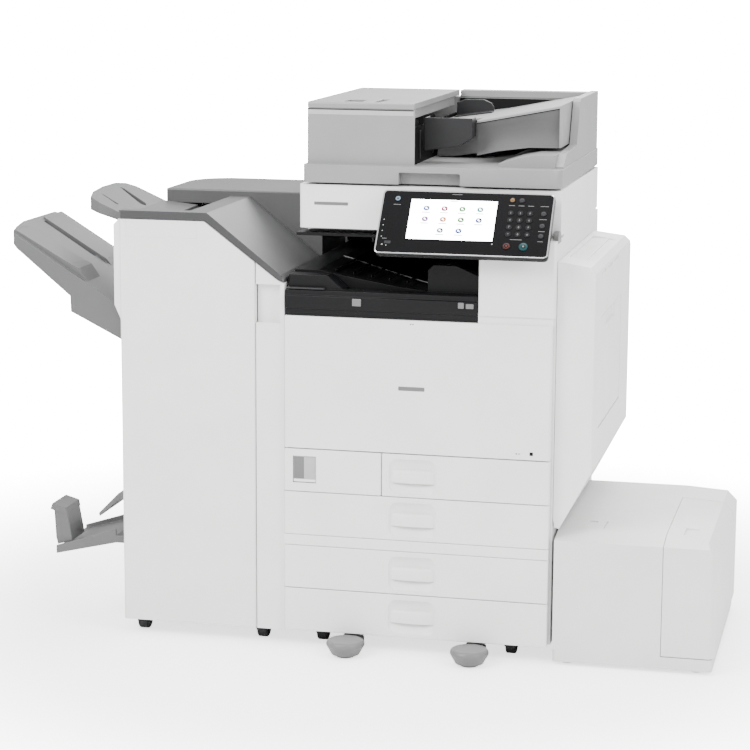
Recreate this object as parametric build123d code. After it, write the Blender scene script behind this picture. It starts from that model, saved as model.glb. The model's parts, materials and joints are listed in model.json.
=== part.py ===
from build123d import *
import math
import os

# A floor-standing colour photocopier: main unit on a two-tray paper bank, document feeder on top,
# finisher docked on the left and a large paper tray docked on the right.
# Sizes are in millimetres. While modelling, X = 0 is the main unit's left side, Y = 0 its front
# plane and Z = 0 the floor. Everything is moved to the bottom centre of the whole machine at the end.

# main unit and paper bank
main_w = 587.0            # width of the tray fronts
side_x = 592.0            # outer face of the right side wall
wall = 5.0                # sheet walls with their covers
front_t = 18.0            # thickness of tray fronts
frame_y0 = 22.0           # frame starts behind the fronts
frame_y1 = 655.0          # back wall of the frame
rear_y = 682.0            # back of the rear cover
seam = 1.6                # gap between two fronts
tray_zs = [(355.7, 450.5), (258.3, 354.1), (136.8, 232.9), (38.7, 135.2)]   # trays 1 to 4
strip_z = (233.8, 257.4)
door_z = (453.0, 745.0)
deck_z = 918.0            # underside of the deck that carries the scanner
tray1_x = 219.0
handle_x = 288.0
handle_size = (106.0, 77.0)
cavity_x1 = 427.0         # right end of the exit cavity
sheet_y = (20.0, 365.0)   # depth of the finisher's output trays

# scanner and feeder
scan_x = (17.0, 592.0)
scan_y = (67.0, 640.0)
scan_z = (930.0, 1025.0)
feed_x = (27.0, 591.0)
feed_y = (59.0, 638.0)
feed_z = (1030.0, 1069.0)
unit_x = (33.0, 270.0)    # feed unit on the left of the feeder
unit_top = 1189.0
cover_top = 1203.0
table_y = (190.0, 586.0)
table_right = 570.0
z_carriage = 980.0        # underside of the scan carriage

# operation panel: a flat plate tilted about X
panel_x = (212.0, 583.0)
panel_low = (-60.0, 897.0)      # Y and Z of its lower front edge
panel_high = (40.0, 1021.0)
panel_t = 14.0
rod_t, rod_depth = 140.0, 24.0  # where the tilt rod is, along the panel and behind its face
screen_x = (275.0, 463.0)
screen_t = (36.5, 138.0)

# right door
door_x1 = 674.5
rd_y = (24.0, 633.0)
bypass_y = (110.0, 470.0)
bypass_z = (507.0, 749.0)

# finisher
fin_x = (-377.0, -2.0)
fin_y = (8.0, 621.0)
fin_bottom = 34.0
fin_top = 962.0
fin_cover_t = 18.0
fin_crest = -176.0
fin_low = (-10.0, 832.0)
column_x = -67.0
well_x1 = -250.0
well_y = (40.0, 348.0)
raised_z = 976.0          # top of the raised part behind the well

# side paper tray
lct_x = (599.0, 949.0)
lct_y = (6.5, 548.0)
lct_z = (8.0, 290.0)
lct_seam_x = 833.0
lct_cover_back = 426.0

# casters
wheel_r, wheel_w, pin_r = 25.0, 22.0, 4.0
run_gap = 0.05            # radial clearance of a wheel on its pin
caster_trail = 12.0
main_casters = [("front_left", 72.0, 60.0), ("front_right", 500.0, 60.0),
                ("rear_left", 72.0, 600.0), ("rear_right", 500.0, 600.0)]
fin_caster_x = (-345.0, -64.0)
fin_caster_y = (62.0, 580.0)


def block(x, y, z):
    """A box from three (low, high) pairs."""
    return Pos(sum(x) / 2, sum(y) / 2, sum(z) / 2) * Box(x[1] - x[0], y[1] - y[0], z[1] - z[0])


def along_x(points, x):
    """A prism whose (Y, Z) outline is carried from x[0] to x[1]."""
    face = Face(Wire.make_polygon([(x[0], y, z) for y, z in points], close=True))
    return Part() + Solid.extrude(face, Vector(x[1] - x[0], 0, 0))


def along_y(points, y):
    """A prism whose (X, Z) outline is carried from y[0] to y[1]."""
    face = Face(Wire.make_polygon([(x, y[0], z) for x, z in points], close=True))
    return Part() + Solid.extrude(face, Vector(0, y[1] - y[0], 0))


def along_z(points, z):
    """A prism whose (X, Y) outline is carried from z[0] to z[1]."""
    face = Face(Wire.make_polygon([(x, y, z[0]) for x, y in points], close=True))
    return Part() + Solid.extrude(face, Vector(0, 0, z[1] - z[0]))


def rod(axis, centre, radius, span):
    """A cylinder along an axis: centre holds the two other coordinates, span its two ends."""
    mid, length = sum(span) / 2, span[1] - span[0]
    turn = {"x": Rot(0, 90, 0), "y": Rot(90, 0, 0), "z": Rot(0, 0, 0)}[axis]
    place = {"x": (mid, *centre), "y": (centre[0], mid, centre[1]), "z": (*centre, mid)}[axis]
    return Pos(*place) * turn * Cylinder(radius, length)


def soften(solid, axis, radius, near=None):
    """Rounds the edges parallel to an axis; near picks those whose centre passes the test."""
    edges = solid.edges().filter_by(axis)
    if near:
        edges = edges.filter_by(lambda e: near(e.center()))
    return fillet(edges, radius)


def rounded_slot(x, z, y, radius):
    """A block with its four edges along Y rounded, for pockets in the front."""
    return soften(block(x, y, z), Axis.Y, radius)


# ---- paper trays ----

def front_panel(x, z):
    """A flat front with its edges rounded towards the user."""
    panel = block(x, (0, front_t), z)
    panel = soften(panel, Axis.Z, 4.0, lambda c: c.Y < 1)
    return soften(panel, Axis.X, 2.0, lambda c: c.Y < 1)


def pull_handle(z_mid):
    """The bar across a tray's pocket, bowed outwards, with a rounded top."""
    half = handle_size[0] / 2 + 1
    left, right = handle_x - half, handle_x + half
    low = z_mid - 15.0
    arc = ThreePointArc((left, 7, low), (handle_x, 1, low), (right, 7, low))
    rim = Polyline((right, 7, low), (right, 17, low), (left, 17, low), (left, 7, low))
    bar = extrude(make_face([arc, rim]), 28.0, dir=(0, 0, 1))
    top_front = bar.edges().filter_by(lambda e: e.center().Z > low + 27 and e.center().Y < 5)
    return fillet(top_front, 7.0)


def tray_front(index):
    z0, z1 = tray_zs[index]
    x0 = tray1_x if index == 0 else 0.0
    z_mid = (z0 + z1) / 2 - 1.5
    half_w, half_h = handle_size[0] / 2, handle_size[1] / 2
    cup_x = (handle_x - half_w - 5, handle_x + half_w + 5)
    cup_h = min(half_h + 4, z_mid - z0)
    cup = block(cup_x, (front_t - 1, 44), (z_mid - cup_h, z_mid + cup_h))
    pocket = rounded_slot((cup_x[0] + 5, cup_x[1] - 5), (z_mid - half_h, z_mid + half_h), (-1, 40), 20.0)
    back_edge = pocket.edges().filter_by(lambda e: e.center().Y > 39)
    pocket = fillet(back_edge, 14.0)
    return front_panel((x0, main_w), (z0, z1)) + cup - pocket + pull_handle(z_mid)


def tray_box(index):
    """The sheet box behind a front, open at the top, held by two arms."""
    z0, z1 = tray_zs[index]
    x = (228.0, 575.0) if index == 0 else (12.0, 575.0)
    z = (z0 + 26, z1 - 10)
    t = 2.0
    outer = block(x, (46, 600), z)
    inner = block((x[0] + t, x[1] - t), (46 + t, 600 - t), (z[0] + t, z[1] + 1))
    arms = [block((a, a + 20), (front_t, 46 + t), z) for a in (x[0] + 132 if index == 0 else 30.0, 540.0)]
    return outer - inner + arms[0] + arms[1]


def tray_rails(index, left_wall):
    """Two ledges that the tray box slides on."""
    z0 = tray_zs[index][0]
    z = (z0 + 21.5, z0 + 25.5)
    y = (50, 640)
    return block((left_wall, left_wall + 20), y, z) + block((main_w - 23, main_w - wall), y, z)


# ---- main unit ----

def paper_bank_frame():
    """Lower cabinet with trays 3 and 4, and the strip between them and the main unit."""
    z1 = strip_z[1]
    y = (frame_y0, frame_y1)
    frame = block((0, wall), y, (40, z1)) + block((main_w - wall, side_x), y, (40, z1))
    frame += block((wall, main_w - wall), (48, frame_y1), (55, 60))
    frame += block((wall, main_w - wall), (frame_y1 - wall, frame_y1), (60, z1))
    frame += block((wall, main_w - wall), y, (z1 - 6, z1))
    frame += soften(block((0, main_w), (0, frame_y0), strip_z), Axis.X, 2.0, lambda c: c.Y < 1)
    return frame + tray_rails(2, wall) + tray_rails(3, wall)


def switch_window():
    """The pocket of the power switch in the fixed panel left of tray 1."""
    return block((19, 72), (-1, 12), (375, 435))


def main_frame():
    y = (frame_y0, frame_y1)
    z0, inner = strip_z[1] + 0.2, (wall, main_w - wall)
    frame = block((0, wall), y, (z0, 924)) + block((main_w - wall, side_x), y, (z0, 924))
    frame += block(inner, y, (z0, z0 + 1.5))
    frame += block(inner, (frame_y1 - wall, frame_y1), (z0, 924))
    frame += block(inner, y, (447, 452))                  # shelf over tray 1
    frame += block((212, 216), (front_t - 1, 645), (356, 447))   # wall left of tray 1
    frame += block((wall, 216), (frame_y0, frame_y0 + 4), (356, 447))
    fixed = front_panel((0, tray1_x - seam), tray_zs[0]) + block((0, 216), (front_t, frame_y0), tray_zs[0])
    fixed -= switch_window()
    switch = block((26, 42), (8, 13), (390, 420))
    frame += fixed + switch
    frame += block(inner, y, (740, 746))                  # floor under the exit tray
    frame += block(inner, (600, 604), (746, deck_z))
    frame += block((cavity_x1, cavity_x1 + 4), (6, 604), (746, deck_z))
    frame += block((0, side_x), (frame_y0, frame_y1), (deck_z, 924))
    pillar = block((cavity_x1, side_x), (0, 110), (762, 924))
    pillar = soften(pillar, Axis.Z, 6.0, lambda c: c.Y < 1)
    frame += pillar - block((cavity_x1 + 4, side_x - 4), (4, 111), (766, 920))
    frame += block((cavity_x1, side_x - 4), (4, frame_y0 + 6), (745, 766))
    frame -= block((-1, wall + 0.5), (frame_y0 - 1, 560), (746, deck_z))     # sheets pass to the finisher
    frame -= block((-1, cavity_x1), (frame_y0 - 1, 140), (deck_z - 1, 925))
    frame -= block((-1, scan_x[0]), (139, 560), (deck_z - 1, 925))
    return frame + tray_rails(0, 216) + tray_rails(1, wall)


def front_door():
    x, z = (0.0, main_w), door_z
    door = block(x, (0, 20), z)
    door = soften(door, Axis.Z, 5.0, lambda c: c.Y < 1)
    door = soften(door, Axis.X, 2.0, lambda c: c.Y < 1 and c.Z > z[1] - 1)
    return door - block((x[0] + 4, x[1] - 4), (4, 21), (z[0] + 4, z[1] - 4))


toner_xs = [84.0, 184.0, 284.0, 384.0]
toner_z = 686.0


def inner_plate():
    plate = block((8, 579), (24, 27), (456, 736))
    for x in toner_xs:
        plate -= rod("y", (x, toner_z), 30.0, (23, 28))
    return plate


def toner_bottles():
    bottles = []
    for x in toner_xs:
        body = rod("y", (x, toner_z), 36.0, (31, 430))
        cap = rod("y", (x, toner_z), 27.0, (24.5, 31))
        grip = block((x - 4, x + 4), (22.5, 24.5), (toner_z - 20, toner_z + 20))
        bottles.append(body + cap + grip)
    return bottles


def drum_units():
    """Four imaging units, each with its drum along the top."""
    units = []
    for x in (90.0, 190.0, 290.0, 390.0):
        case = along_y([(x - 42, 500), (x + 30, 500), (x + 42, 530), (x + 42, 562), (x - 42, 562)], (36, 520))
        units.append(case + rod("y", (x, 570), 15.0, (46, 510)))
    return units


def transfer_belt_unit():
    """An endless belt between two rollers, above the drums."""
    loop = block((70, 430), (50, 510), (590, 630)) + rod("y", (70, 610), 20.0, (50, 510))
    loop += rod("y", (430, 610), 20.0, (50, 510))
    hollow = block((70, 430), (49, 511), (592, 628))
    rollers = rod("y", (70, 610), 18.0, (50, 510)) + rod("y", (430, 610), 18.0, (50, 510))
    frame = block((70, 430), (60, 500), (604, 616))
    return loop - hollow + rollers + frame


def fusing_unit():
    case = block((474, 574), (40, 540), (600, 730))
    slot = block((520, 530), (50, 530), (599, 731))
    hot = rod("y", (504, 665), 15.5, (50, 530))
    press = rod("y", (546, 665), 15.5, (50, 530))
    return case - slot + hot + press


def rear_cover():
    cover = block((2, side_x - 2), (frame_y1, rear_y), (62, 905))
    cover = soften(cover, Axis.Z, 12.0, lambda c: c.Y > rear_y - 1)
    return cover - block((6, side_x - 6), (frame_y1 - 1, rear_y - 4), (66, 901))


def exit_tray_unit():
    """The black inner tray: stepped front, sloping paper bed and a raised block on the right."""
    y0 = 3.0
    x = (1.0, cavity_x1 - 1)
    front = [(y0 + 3, 746.5), (y0 + 3, 760), (y0, 761), (y0, 789), (y0 + 4, 791), (y0 + 4, 801), (16, 803),
             (40, 803), (40, 746.5)]
    unit = along_x(front, x)
    bed = [(6, 790), (6, 838), (60, 838), (120, 826), (240, 806), (300, 800), (300, 790)]
    unit += along_y(bed, (70, 590))
    unit += block((6, x[1]), (38, 590), (786, 791)) + block((6, x[1]), (586, 590), (746.5, 912))
    unit += block((6, x[1]), (82, 590), (911, deck_z - 0.3))
    ledge = [(6, 803), (6, 833), (92, 833), (128, 803)]
    unit += along_y(ledge, (20, 64))
    hump = [(310, 790), (310, 850), (322, 862), (372, 862), (420, 842), (426, 836), (426, 790)]
    unit += along_y(hump, (36, 300))
    return unit


def stabiliser_feet():
    """Two domed feet on black pads, reaching out in front to stop the machine tipping."""
    feet = []
    for x in (148.5, 425.0):
        flare = Pos(x, -38, 16) * Cone(31, 42, 20)
        dome = flare + rod("z", (x, -38), 42.0, (26, 37))
        dome = fillet(dome.edges().filter_by(lambda e: e.center().Z > 36.9), 8.0)
        arm = block((x - 18, x + 18), (-38, 60), (16, 30)) + block((x - 18, x + 18), (24, 60), (16, 55))
        pads = rod("z", (x, -38), 20.0, (0, 7)) + block((x - 20, x + 20), (34, 58), (0, 18))
        feet.append(dome + arm + pads)
    return feet


def caster_fork(x, y):
    """Swivel plate, two cheeks and the pin the wheel turns on."""
    yw = y + caster_trail
    half = wheel_w / 2 + 1
    fork = rod("z", (x, y), 20.0, (51.5, 54.6)) + rod("z", (x, y), 7.0, (54, 54.9))
    for side in (-1, 1):
        cheek = [(yw - 11, 17), (yw + 11, 17), (yw + 11, 32), (y + 18, 52), (y - 18, 52), (yw - 20, 32)]
        inside = x + side * half
        fork += along_x(cheek, sorted((inside, inside + side * 3)))
    return fork + rod("x", (yw, wheel_r), pin_r, (x - half - 4, x + half + 4))


def caster_wheel(x, y):
    yw = y + caster_trail
    wheel = rod("x", (yw, wheel_r), wheel_r, (x - wheel_w / 2, x + wheel_w / 2))
    wheel = fillet(wheel.edges().filter_by(GeomType.CIRCLE), 3.0)
    return wheel - rod("x", (yw, wheel_r), pin_r + run_gap, (x - wheel_w, x + wheel_w))


# ---- right door and bypass tray ----

def right_door():
    """Duplex door: bevelled below, chamfered above, with a pocket for the bypass tray."""
    outline = [(593, 320), (597, 303), (606, 300), (door_x1, 430), (door_x1, 856), (664, 870), (600, 880),
               (593, 880)]
    door = along_y(outline, rd_y)
    corner = along_x([(rd_y[1] - 60, 890), (rd_y[1] + 1, 845), (rd_y[1] + 1, 890)], (590, 680))
    door -= corner
    back_x = door_x1 - 22
    inner = [(590, 326), (600, 326), (612, 322), (back_x, 432), (back_x, 850), (646, 862), (600, 872),
             (590, 872)]
    door -= along_y(inner, (rd_y[0] + 5, 560))
    door -= block((659, 700), (bypass_y[0] - 2, bypass_y[1] + 2), (bypass_z[0] - 1.5, bypass_z[1] + 1.5))
    door -= block((640, 662), (115, 500), (871, 880)) + block((603, 640), (115, 500), (874, 890))
    for y in (120, 230, 340):
        door -= block((door_x1 - 3, 680), (y, y + 70), (842, 850))
    return soften(door, Axis.Z, 4.0, lambda c: c.X > door_x1 - 0.1 and c.Y < rd_y[0] + 0.1)


def bypass_tray():
    tray = block((662, door_x1 - 0.5), bypass_y, bypass_z)
    tray = soften(tray, Axis.Y, 5.8, lambda c: c.Z < bypass_z[0] + 1)
    grip = rod("x", (290, 749), 85.0, (667, 690)) & block((660, 690), (200, 380), (716, 746))
    return tray - grip


# ---- scanner ----

def scanner_housing():
    x, y, z = scan_x, scan_y, scan_z
    shell = block(x, y, z)
    shell = soften(shell, Axis.Z, 8.0, lambda c: c.Y < y[0] + 1 and c.X < x[0] + 1)
    shell -= block((x[0] + 4, x[1] - 4), (y[0] + 4, y[1] - 4), (z[0] + 6, z[1] - 8))
    shell -= block((60, 505), (105, 420), (z[1] - 9, z[1] + 1))
    shell -= block((56, 509), (101, 424), (z[1] - 4, z[1] + 1))
    shell += block((x[0], x[1]), (110, y[1] - 20), (924, 931))
    for ry in (86, 428):                      # rails of the scan carriage
        shell += block((x[0] + 3, x[1] - 3), (ry, ry + 14), (z_carriage - 8, z_carriage - 0.5))
    rod_y, rod_z = rod_centre()
    for bx in (286.0, 492.0):
        shell += block((bx, bx + 8), (rod_y - 6, y[0] + 1), (rod_z - 6, rod_z + 6))
    return shell + rod("x", (rod_y, rod_z), pin_r, (288, 498))


def scan_carriage():
    bar = block((75, 115), (88, 440), (z_carriage, z_carriage + 26))
    return bar - block((85, 105), (100, 430), (z_carriage + 16, z_carriage + 27))


# ---- operation panel ----

def panel_unit():
    """Unit vectors (Y, Z) up along the panel and out of its face."""
    dy, dz = panel_high[0] - panel_low[0], panel_high[1] - panel_low[1]
    length = math.hypot(dy, dz)
    return (dy / length, dz / length), (-dz / length, dy / length), length


def on_panel(t, depth):
    """The (Y, Z) place t along the panel and depth behind its face."""
    up, out, _ = panel_unit()
    return panel_low[0] + up[0] * t - out[0] * depth, panel_low[1] + up[1] * t - out[1] * depth


def rod_centre():
    return on_panel(rod_t, rod_depth)


def slab(x, t, depth):
    """A block in the panel's own directions: x across, t up along it, depth behind its face."""
    corners = ((t[0], depth[0]), (t[1], depth[0]), (t[1], depth[1]), (t[0], depth[1]))
    return along_x([on_panel(*corner) for corner in corners], x)


def stud(x, t, radius, depth):
    """A cylinder square to the panel's face."""
    up, out, _ = panel_unit()
    y, z = on_panel(t, depth[1])
    face = Plane(origin=(x, y, z), z_dir=(0, out[0], out[1]), x_dir=(1, 0, 0))
    return extrude(face * Circle(radius), depth[1] - depth[0])


number_keys_at = [(x, t) for t in (109.0, 91.5, 74.0, 56.5) for x in (493.0, 513.5, 534.0)]
function_keys_at = [(246.0, 137.0), (493.0, 141.0), (513.5, 141.0), (563.0, 109.0), (563.0, 79.0),
                    (563.0, 54.0)]
start_at, stop_at = (529.0, 27.0), (493.0, 27.0)
key_r, start_r, stop_r = 6.0, 9.5, 8.0
key_gap = 0.4
key_up = 1.4
key_travel = 1.0
key_floor = 6.0


def panel_housing():
    length = panel_unit()[2]
    plate = slab(panel_x, (0, length), (0, panel_t))
    out = panel_unit()[1]
    corners = plate.edges().filter_by(lambda e: abs(e.length - panel_t) < 0.01
                                      and abs(e.tangent_at(0).Y * out[0] + e.tangent_at(0).Z * out[1]) > 0.99)
    plate = fillet(corners, 10.0)
    plate -= slab((screen_x[0] - 0.5, screen_x[1] + 0.5), (screen_t[0] - 0.5, screen_t[1] + 0.5), (-1, 2.5))
    for x, t in number_keys_at + function_keys_at:
        plate -= stud(x, t, key_r + key_gap, (-1, key_floor))
    plate -= stud(*start_at, start_r + key_gap, (-1, key_floor))
    plate -= stud(*stop_at, stop_r + key_gap, (-1, key_floor))
    y, z = rod_centre()
    lug = rod("x", (y, z), 8.0, (310, 470))
    lug += slab((310, 470), (rod_t - 6, rod_t + 6), (panel_t - 1, rod_depth))
    return plate + (lug - rod("x", (y, z), pin_r + run_gap, (300, 480)))


def touch_screen():
    return slab(screen_x, screen_t, (-0.3, 2.5))


def key_set(places, radius):
    return [stud(x, t, radius, (-key_up, key_floor - key_travel - 0.5)) for x, t in places]


# ---- document feeder ----

def feeder_base():
    """Lid plate, feed unit housing on its left, low right wall and the back housing."""
    x, y, z = feed_x, feed_y, feed_z
    base = block(x, y, z)
    base = soften(base, Axis.Z, 26.0, lambda c: c.X > x[1] - 1 and c.Y < y[0] + 1)
    base = soften(base, Axis.Z, 8.0, lambda c: c.X < x[0] + 1 and c.Y < y[0] + 1)
    base -= block((x[0] + 5, x[1] - 5), (y[0] + 30, y[1] - 5), (z[0] + 6, z[1] - 4))
    base -= rounded_slot((239, 373), (z[0] - 4, 1056), (y[0] - 1, y[0] + 22), 3.0)
    ux, top = unit_x, unit_top
    base += soften(block(ux, (75, 79), (z[1], top)), Axis.Z, 1.5, lambda c: c.Y < 76)
    base += block((ux[0], ux[0] + 4), (75, y[1]), (z[1], top))
    base += block((ux[0], x[1] - 20), (592, y[1]), (z[1], 1186))
    base += block((ux[1], x[1] - 20), (590, y[1]), (1186, 1201))
    wedge = [(449, z[1]), (449, 1077), (490, 1090), (525, 1097), (572, 1098), (572, z[1])]
    base += along_y(wedge, (96, 592))
    side = [(100, z[1]), (100, 1074), (150, 1098), (300, 1104), (345, 1196), (352, 1203), (y[1], 1203),
            (y[1], z[1])]
    base += along_x(side, (x[1] - 19, x[1] - 2))
    return base


def feeder_cover():
    """Feed cover: a flat lid with two finger recesses, its rim turned down inside the housing."""
    x = (unit_x[0], unit_x[1] - 1)
    lid = block(x, (75, 589), (unit_top + 0.5, cover_top))
    lid = soften(lid, Axis.X, 5.0, lambda c: c.Z > cover_top - 1 and c.Y < 80)
    lid -= block((106, 147), (100, 166), (cover_top - 5, cover_top + 1))
    lid -= block((173, 192), (90, 195), (cover_top - 5, cover_top + 1))
    guide = block((150, 262), (120, 560), (1168, unit_top + 1)) - block((154, 258), (124, 556), (1160, 1186))
    return lid + guide


def pickup_roller():
    core = rod("y", (205, 1140), 5.0, (79.4, 591.6))
    for y in (240, 330, 420):
        core += rod("y", (205, 1140), 16.0, (y - 14, y + 14))
    return core


def platen_pad():
    return soften(block((50, 540), (96, 560), (1027.5, 1029.8)), Axis.Z, 6.0)


table_top = [(274.0, 1146.0), (390.0, 1162.0), (table_right, 1197.0)]


def document_tray():
    """Sloping original table with a curved skirt in front and a notch for the front guide."""
    plate_t = 5.0
    top = table_top
    under = [(x, z - plate_t) for x, z in reversed(top)]
    tray = along_y(top + under, table_y)
    skirt = [top[0], top[1], top[2], (table_right, 1104), (500, 1104), (430, 1094), (370, 1080), (320, 1072),
             (274, 1071)]
    tray += along_y(skirt, (table_y[0], table_y[0] + 4))
    tray += block((table_right - 4, table_right), table_y, (1104, 1197))
    notch = block((272, 384), (table_y[0] - 1, 300), (1065, 1200))
    inner_skirt = [(274, 1140), (390, 1156), (390, 1084), (274, 1072)]
    return tray - notch + along_y(inner_skirt, (300, 304))


def guide_front():
    """Front document guide: a deep box with a chamfered end, sliding in the notch."""
    outline = [(276, 1168), (276, 1096), (352, 1108), (381, 1126), (381, 1168)]
    inner = [(279, 1176), (279, 1099), (350, 1111), (378, 1128), (378, 1176)]
    return along_y(outline, (152, 200)) - along_y(inner, (156, 201))


def guide_rear():
    x = (285.0, 372.0)
    slope = (table_top[1][1] - table_top[0][1]) / (table_top[1][0] - table_top[0][0])

    def top_at(px):
        return table_top[0][1] + slope * (px - table_top[0][0]) + 0.6
    fence = [(x[0], top_at(x[0])), (x[0], 1180), (x[0] + 20, 1188), (x[1] - 24, 1188), (x[1] - 6, 1180),
             (x[1], 1170), (x[1], top_at(x[1]))]
    foot = [(x[0], top_at(x[0])), (x[0], top_at(x[0]) + 3), (x[1], top_at(x[1]) + 3), (x[1], top_at(x[1]))]
    return along_y(fence, (470, 476)) + along_y(foot, (440, 476))


# ---- finisher ----

def cover_under(x):
    """Height just below the finisher cover's underside at x."""
    level = fin_top - fin_cover_t
    slope = (level - fin_low[1] + 12) / (fin_low[0] - fin_crest)
    return level - 1.2 - slope * max(0.0, min(x, fin_low[0] - 6) - fin_crest + 6)


def finisher_cabinet():
    """White shell: sides, back and floor, with the fixed column at the front right."""
    x, z0 = fin_x, fin_bottom
    y = (30.0, fin_y[1])
    t = 5.0
    top_under = cover_under(x[0])
    side_l = block((x[0], x[0] + t), y, (z0, top_under))
    side_l -= block((x[0] - 1, x[0] + t + 1), (40, 356), (928, 980))
    shell = side_l + block((x[1] - t, x[1]), y, (z0, 800)) + block((x[0], x[1]), y, (55, 60))
    corner_z = cover_under(x[1]) - 6
    back = [(x[0], z0), (x[1], z0), (x[1], corner_z), (fin_low[0] - 8, cover_under(fin_low[0] - 8)),
            (fin_crest - 6, top_under), (x[0], top_under)]
    shell += along_y(back, (y[1] - t, y[1]))
    column_outline = [(column_x + 1, z0), (x[1], z0), (x[1], corner_z),
                      (fin_low[0] - 8, cover_under(fin_low[0] - 8)),
                      (column_x + 1, cover_under(column_x + 1))]
    column = along_y(column_outline, (fin_y[0] + 2, 34))
    column -= block((column_x + 5, x[1] + 1), (fin_y[0] + 6, 35), (z0 - 1, 715))
    column -= block((column_x, x[1] + 1), (28, 35), (z0 - 1, 56))
    column -= block((column_x, -12), (fin_y[0] - 1, 26), (725, 810))
    bulge = [(x[0], 720), (x[0] - 14, 752), (x[0] - 14, 930), (x[0], 944)]
    shell += column + along_y(bulge, (11, 18.5)) + block((x[0], x[0] + 0.9), (11, 31), (z0, 944))
    for z in (150.0, 690.0):
        shell -= block((x[0] - 1, x[0] + t + 1), (60, 440), (z, z + 26))
    return shell


def finisher_top():
    """Cover with a flat left part, a long slope to the right and the well of the proof tray."""
    x = fin_x
    t = fin_cover_t
    low_x, low_z = fin_low
    outline = [(x[0], fin_top), (fin_crest, fin_top), (low_x, low_z), (x[1] - 1, low_z - 8),
               (x[1] - 1, low_z - 16), (low_x - 6, low_z - 12), (fin_crest - 6, fin_top - t),
               (x[0], fin_top - t)]
    cover = along_y(outline, fin_y)
    basin = [(x[0], 930), (well_x1 - 30, 930), (well_x1 + 24, fin_top - t + 2), (x[0], fin_top - t + 2)]
    cover += along_y(basin, (well_y[0] + 1, well_y[1]))
    well = [(x[0] - 1, 934), (well_x1 - 32, 934), (well_x1 + 30, fin_top + 0.5), (x[0] - 1, fin_top + 0.5)]
    cover -= along_y(well, (well_y[0], well_y[1]))
    raised = [(x[0], fin_top - 1), (x[0], raised_z), (x[1] - 1, raised_z), (x[1] - 1, low_z - 14),
              (low_x, low_z - 4), (fin_crest, fin_top - 4)]
    rear = along_y(raised, (well_y[1], fin_y[1]))
    rear -= along_y([(-150, 932), (-9, 932), (-9, 846)], (well_y[1] + 6, fin_y[1] - 6))
    rear -= block((x[0] + 8, x[1] - 10), (well_y[1] + 6, fin_y[1] - 6), (fin_top - 3, raised_z - 6))
    corner = block((x[0] - 1, x[0] + 100), (fin_y[1] - 100, fin_y[1] + 1), (fin_top, raised_z + 1))
    corner -= rod("z", (x[0] + 100, fin_y[1] - 100), 100.0, (fin_top - 1, raised_z + 2))
    rear -= corner
    top_front = rear.edges().filter_by(Axis.X)
    top_front = top_front.filter_by(lambda e: e.center().Z > raised_z - 1 and e.center().Y < 360)
    return cover + fillet(top_front, 4.0)


def finisher_door():
    knee = fin_crest - 6
    top_z, right_z = cover_under(knee), cover_under(column_x - 1)
    outline = [(fin_x[0] + 1, fin_bottom), (column_x - 1, fin_bottom), (column_x - 1, right_z), (knee, top_z),
               (fin_x[0] + 1, top_z)]
    door = along_y(outline, (fin_y[0], 28))
    door = soften(door, Axis.Z, 4.0, lambda c: c.Y < fin_y[0] + 1)
    inner = [(fin_x[0] + 6, fin_bottom + 5), (column_x - 6, fin_bottom + 5), (column_x - 6, right_z - 7),
             (knee - 2, top_z - 5), (fin_x[0] + 6, top_z - 5)]
    return door - along_y(inner, (13, 29))


def proof_tray():
    """Upper output tray: a thick sloping plate with a rounded outer end and two slots."""
    outline = [(-300, 934.5), (-300, 940), (-378, 948), (-482, 994), (-486, 972), (-471, 958), (-392, 934.5)]
    y0, y1 = 46.0, well_y[1] - 4
    plan = [(-299, y0), (-436, y0), (-460, y0 + 12), (-473, 110), (-480, 190), (-480, 280), (-470, y1 - 20),
            (-448, y1), (-299, y1)]
    tray = along_y(outline, (y0 - 1, y1 + 1)) & along_z(plan, (920, 1010))
    small = [(-458, 126), (-454, 129), (-412, 112), (-414, 102)]
    large = [(-462, 262), (-456, 268), (-390, 232), (-382, 212), (-392, 203)]
    slot_depth = along_y([(-470, 1000), (-470, 974), (-370, 938), (-370, 1000)], (90, 280))
    for slot in (small, large):
        tray -= along_z(slot, (945, 1000)) & slot_depth
    return tray


tray_slope = [(-379.5, 749.0), (-497.0, 819.0), (-650.0, 915.0)]    # top line of the main output tray


def shift_tray():
    """Main output tray: a deep sloping wedge, its front strip raised at the outer end, with a groove."""
    outline = tray_slope + [(-660, 895), (-640, 882), (-498, 765), (-497, 730), (-379.5, 672)]
    y0, y1 = sheet_y
    plan = [(-379, y0), (-622, y0), (-632, y0 + 8), (-642, 70), (-652, 150), (-656, 240), (-650, y1 - 30),
            (-636, y1 - 8), (-612, y1), (-379, y1)]
    raised = [(-460, 796), (-480, 827), (-497, 834), (-624, 906), (-640, 908), (-640, 900), (-500, 816)]
    low = [(-470, 800), (-488, 821), (-500, 828), (-640, 914), (-640, 900), (-500, 816)]
    body = along_y(outline, (y0 - 1, y1 + 1)) + along_y(raised, (y0 + 12, 115)) + along_y(low, (236, y1 - 10))
    body &= along_z(plan, (600, 1000))
    hollow = [(-384, 738), (-497, 806), (-600, 870), (-502, 776), (-491, 770), (-491, 735), (-384, 682)]
    body -= along_y(hollow, (y0 + 6, y1 - 6))
    groove = [(-512, 822), (-512, 840), (-634, 930), (-634, 899)]
    return body - along_y(groove, (222, 236))


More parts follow.
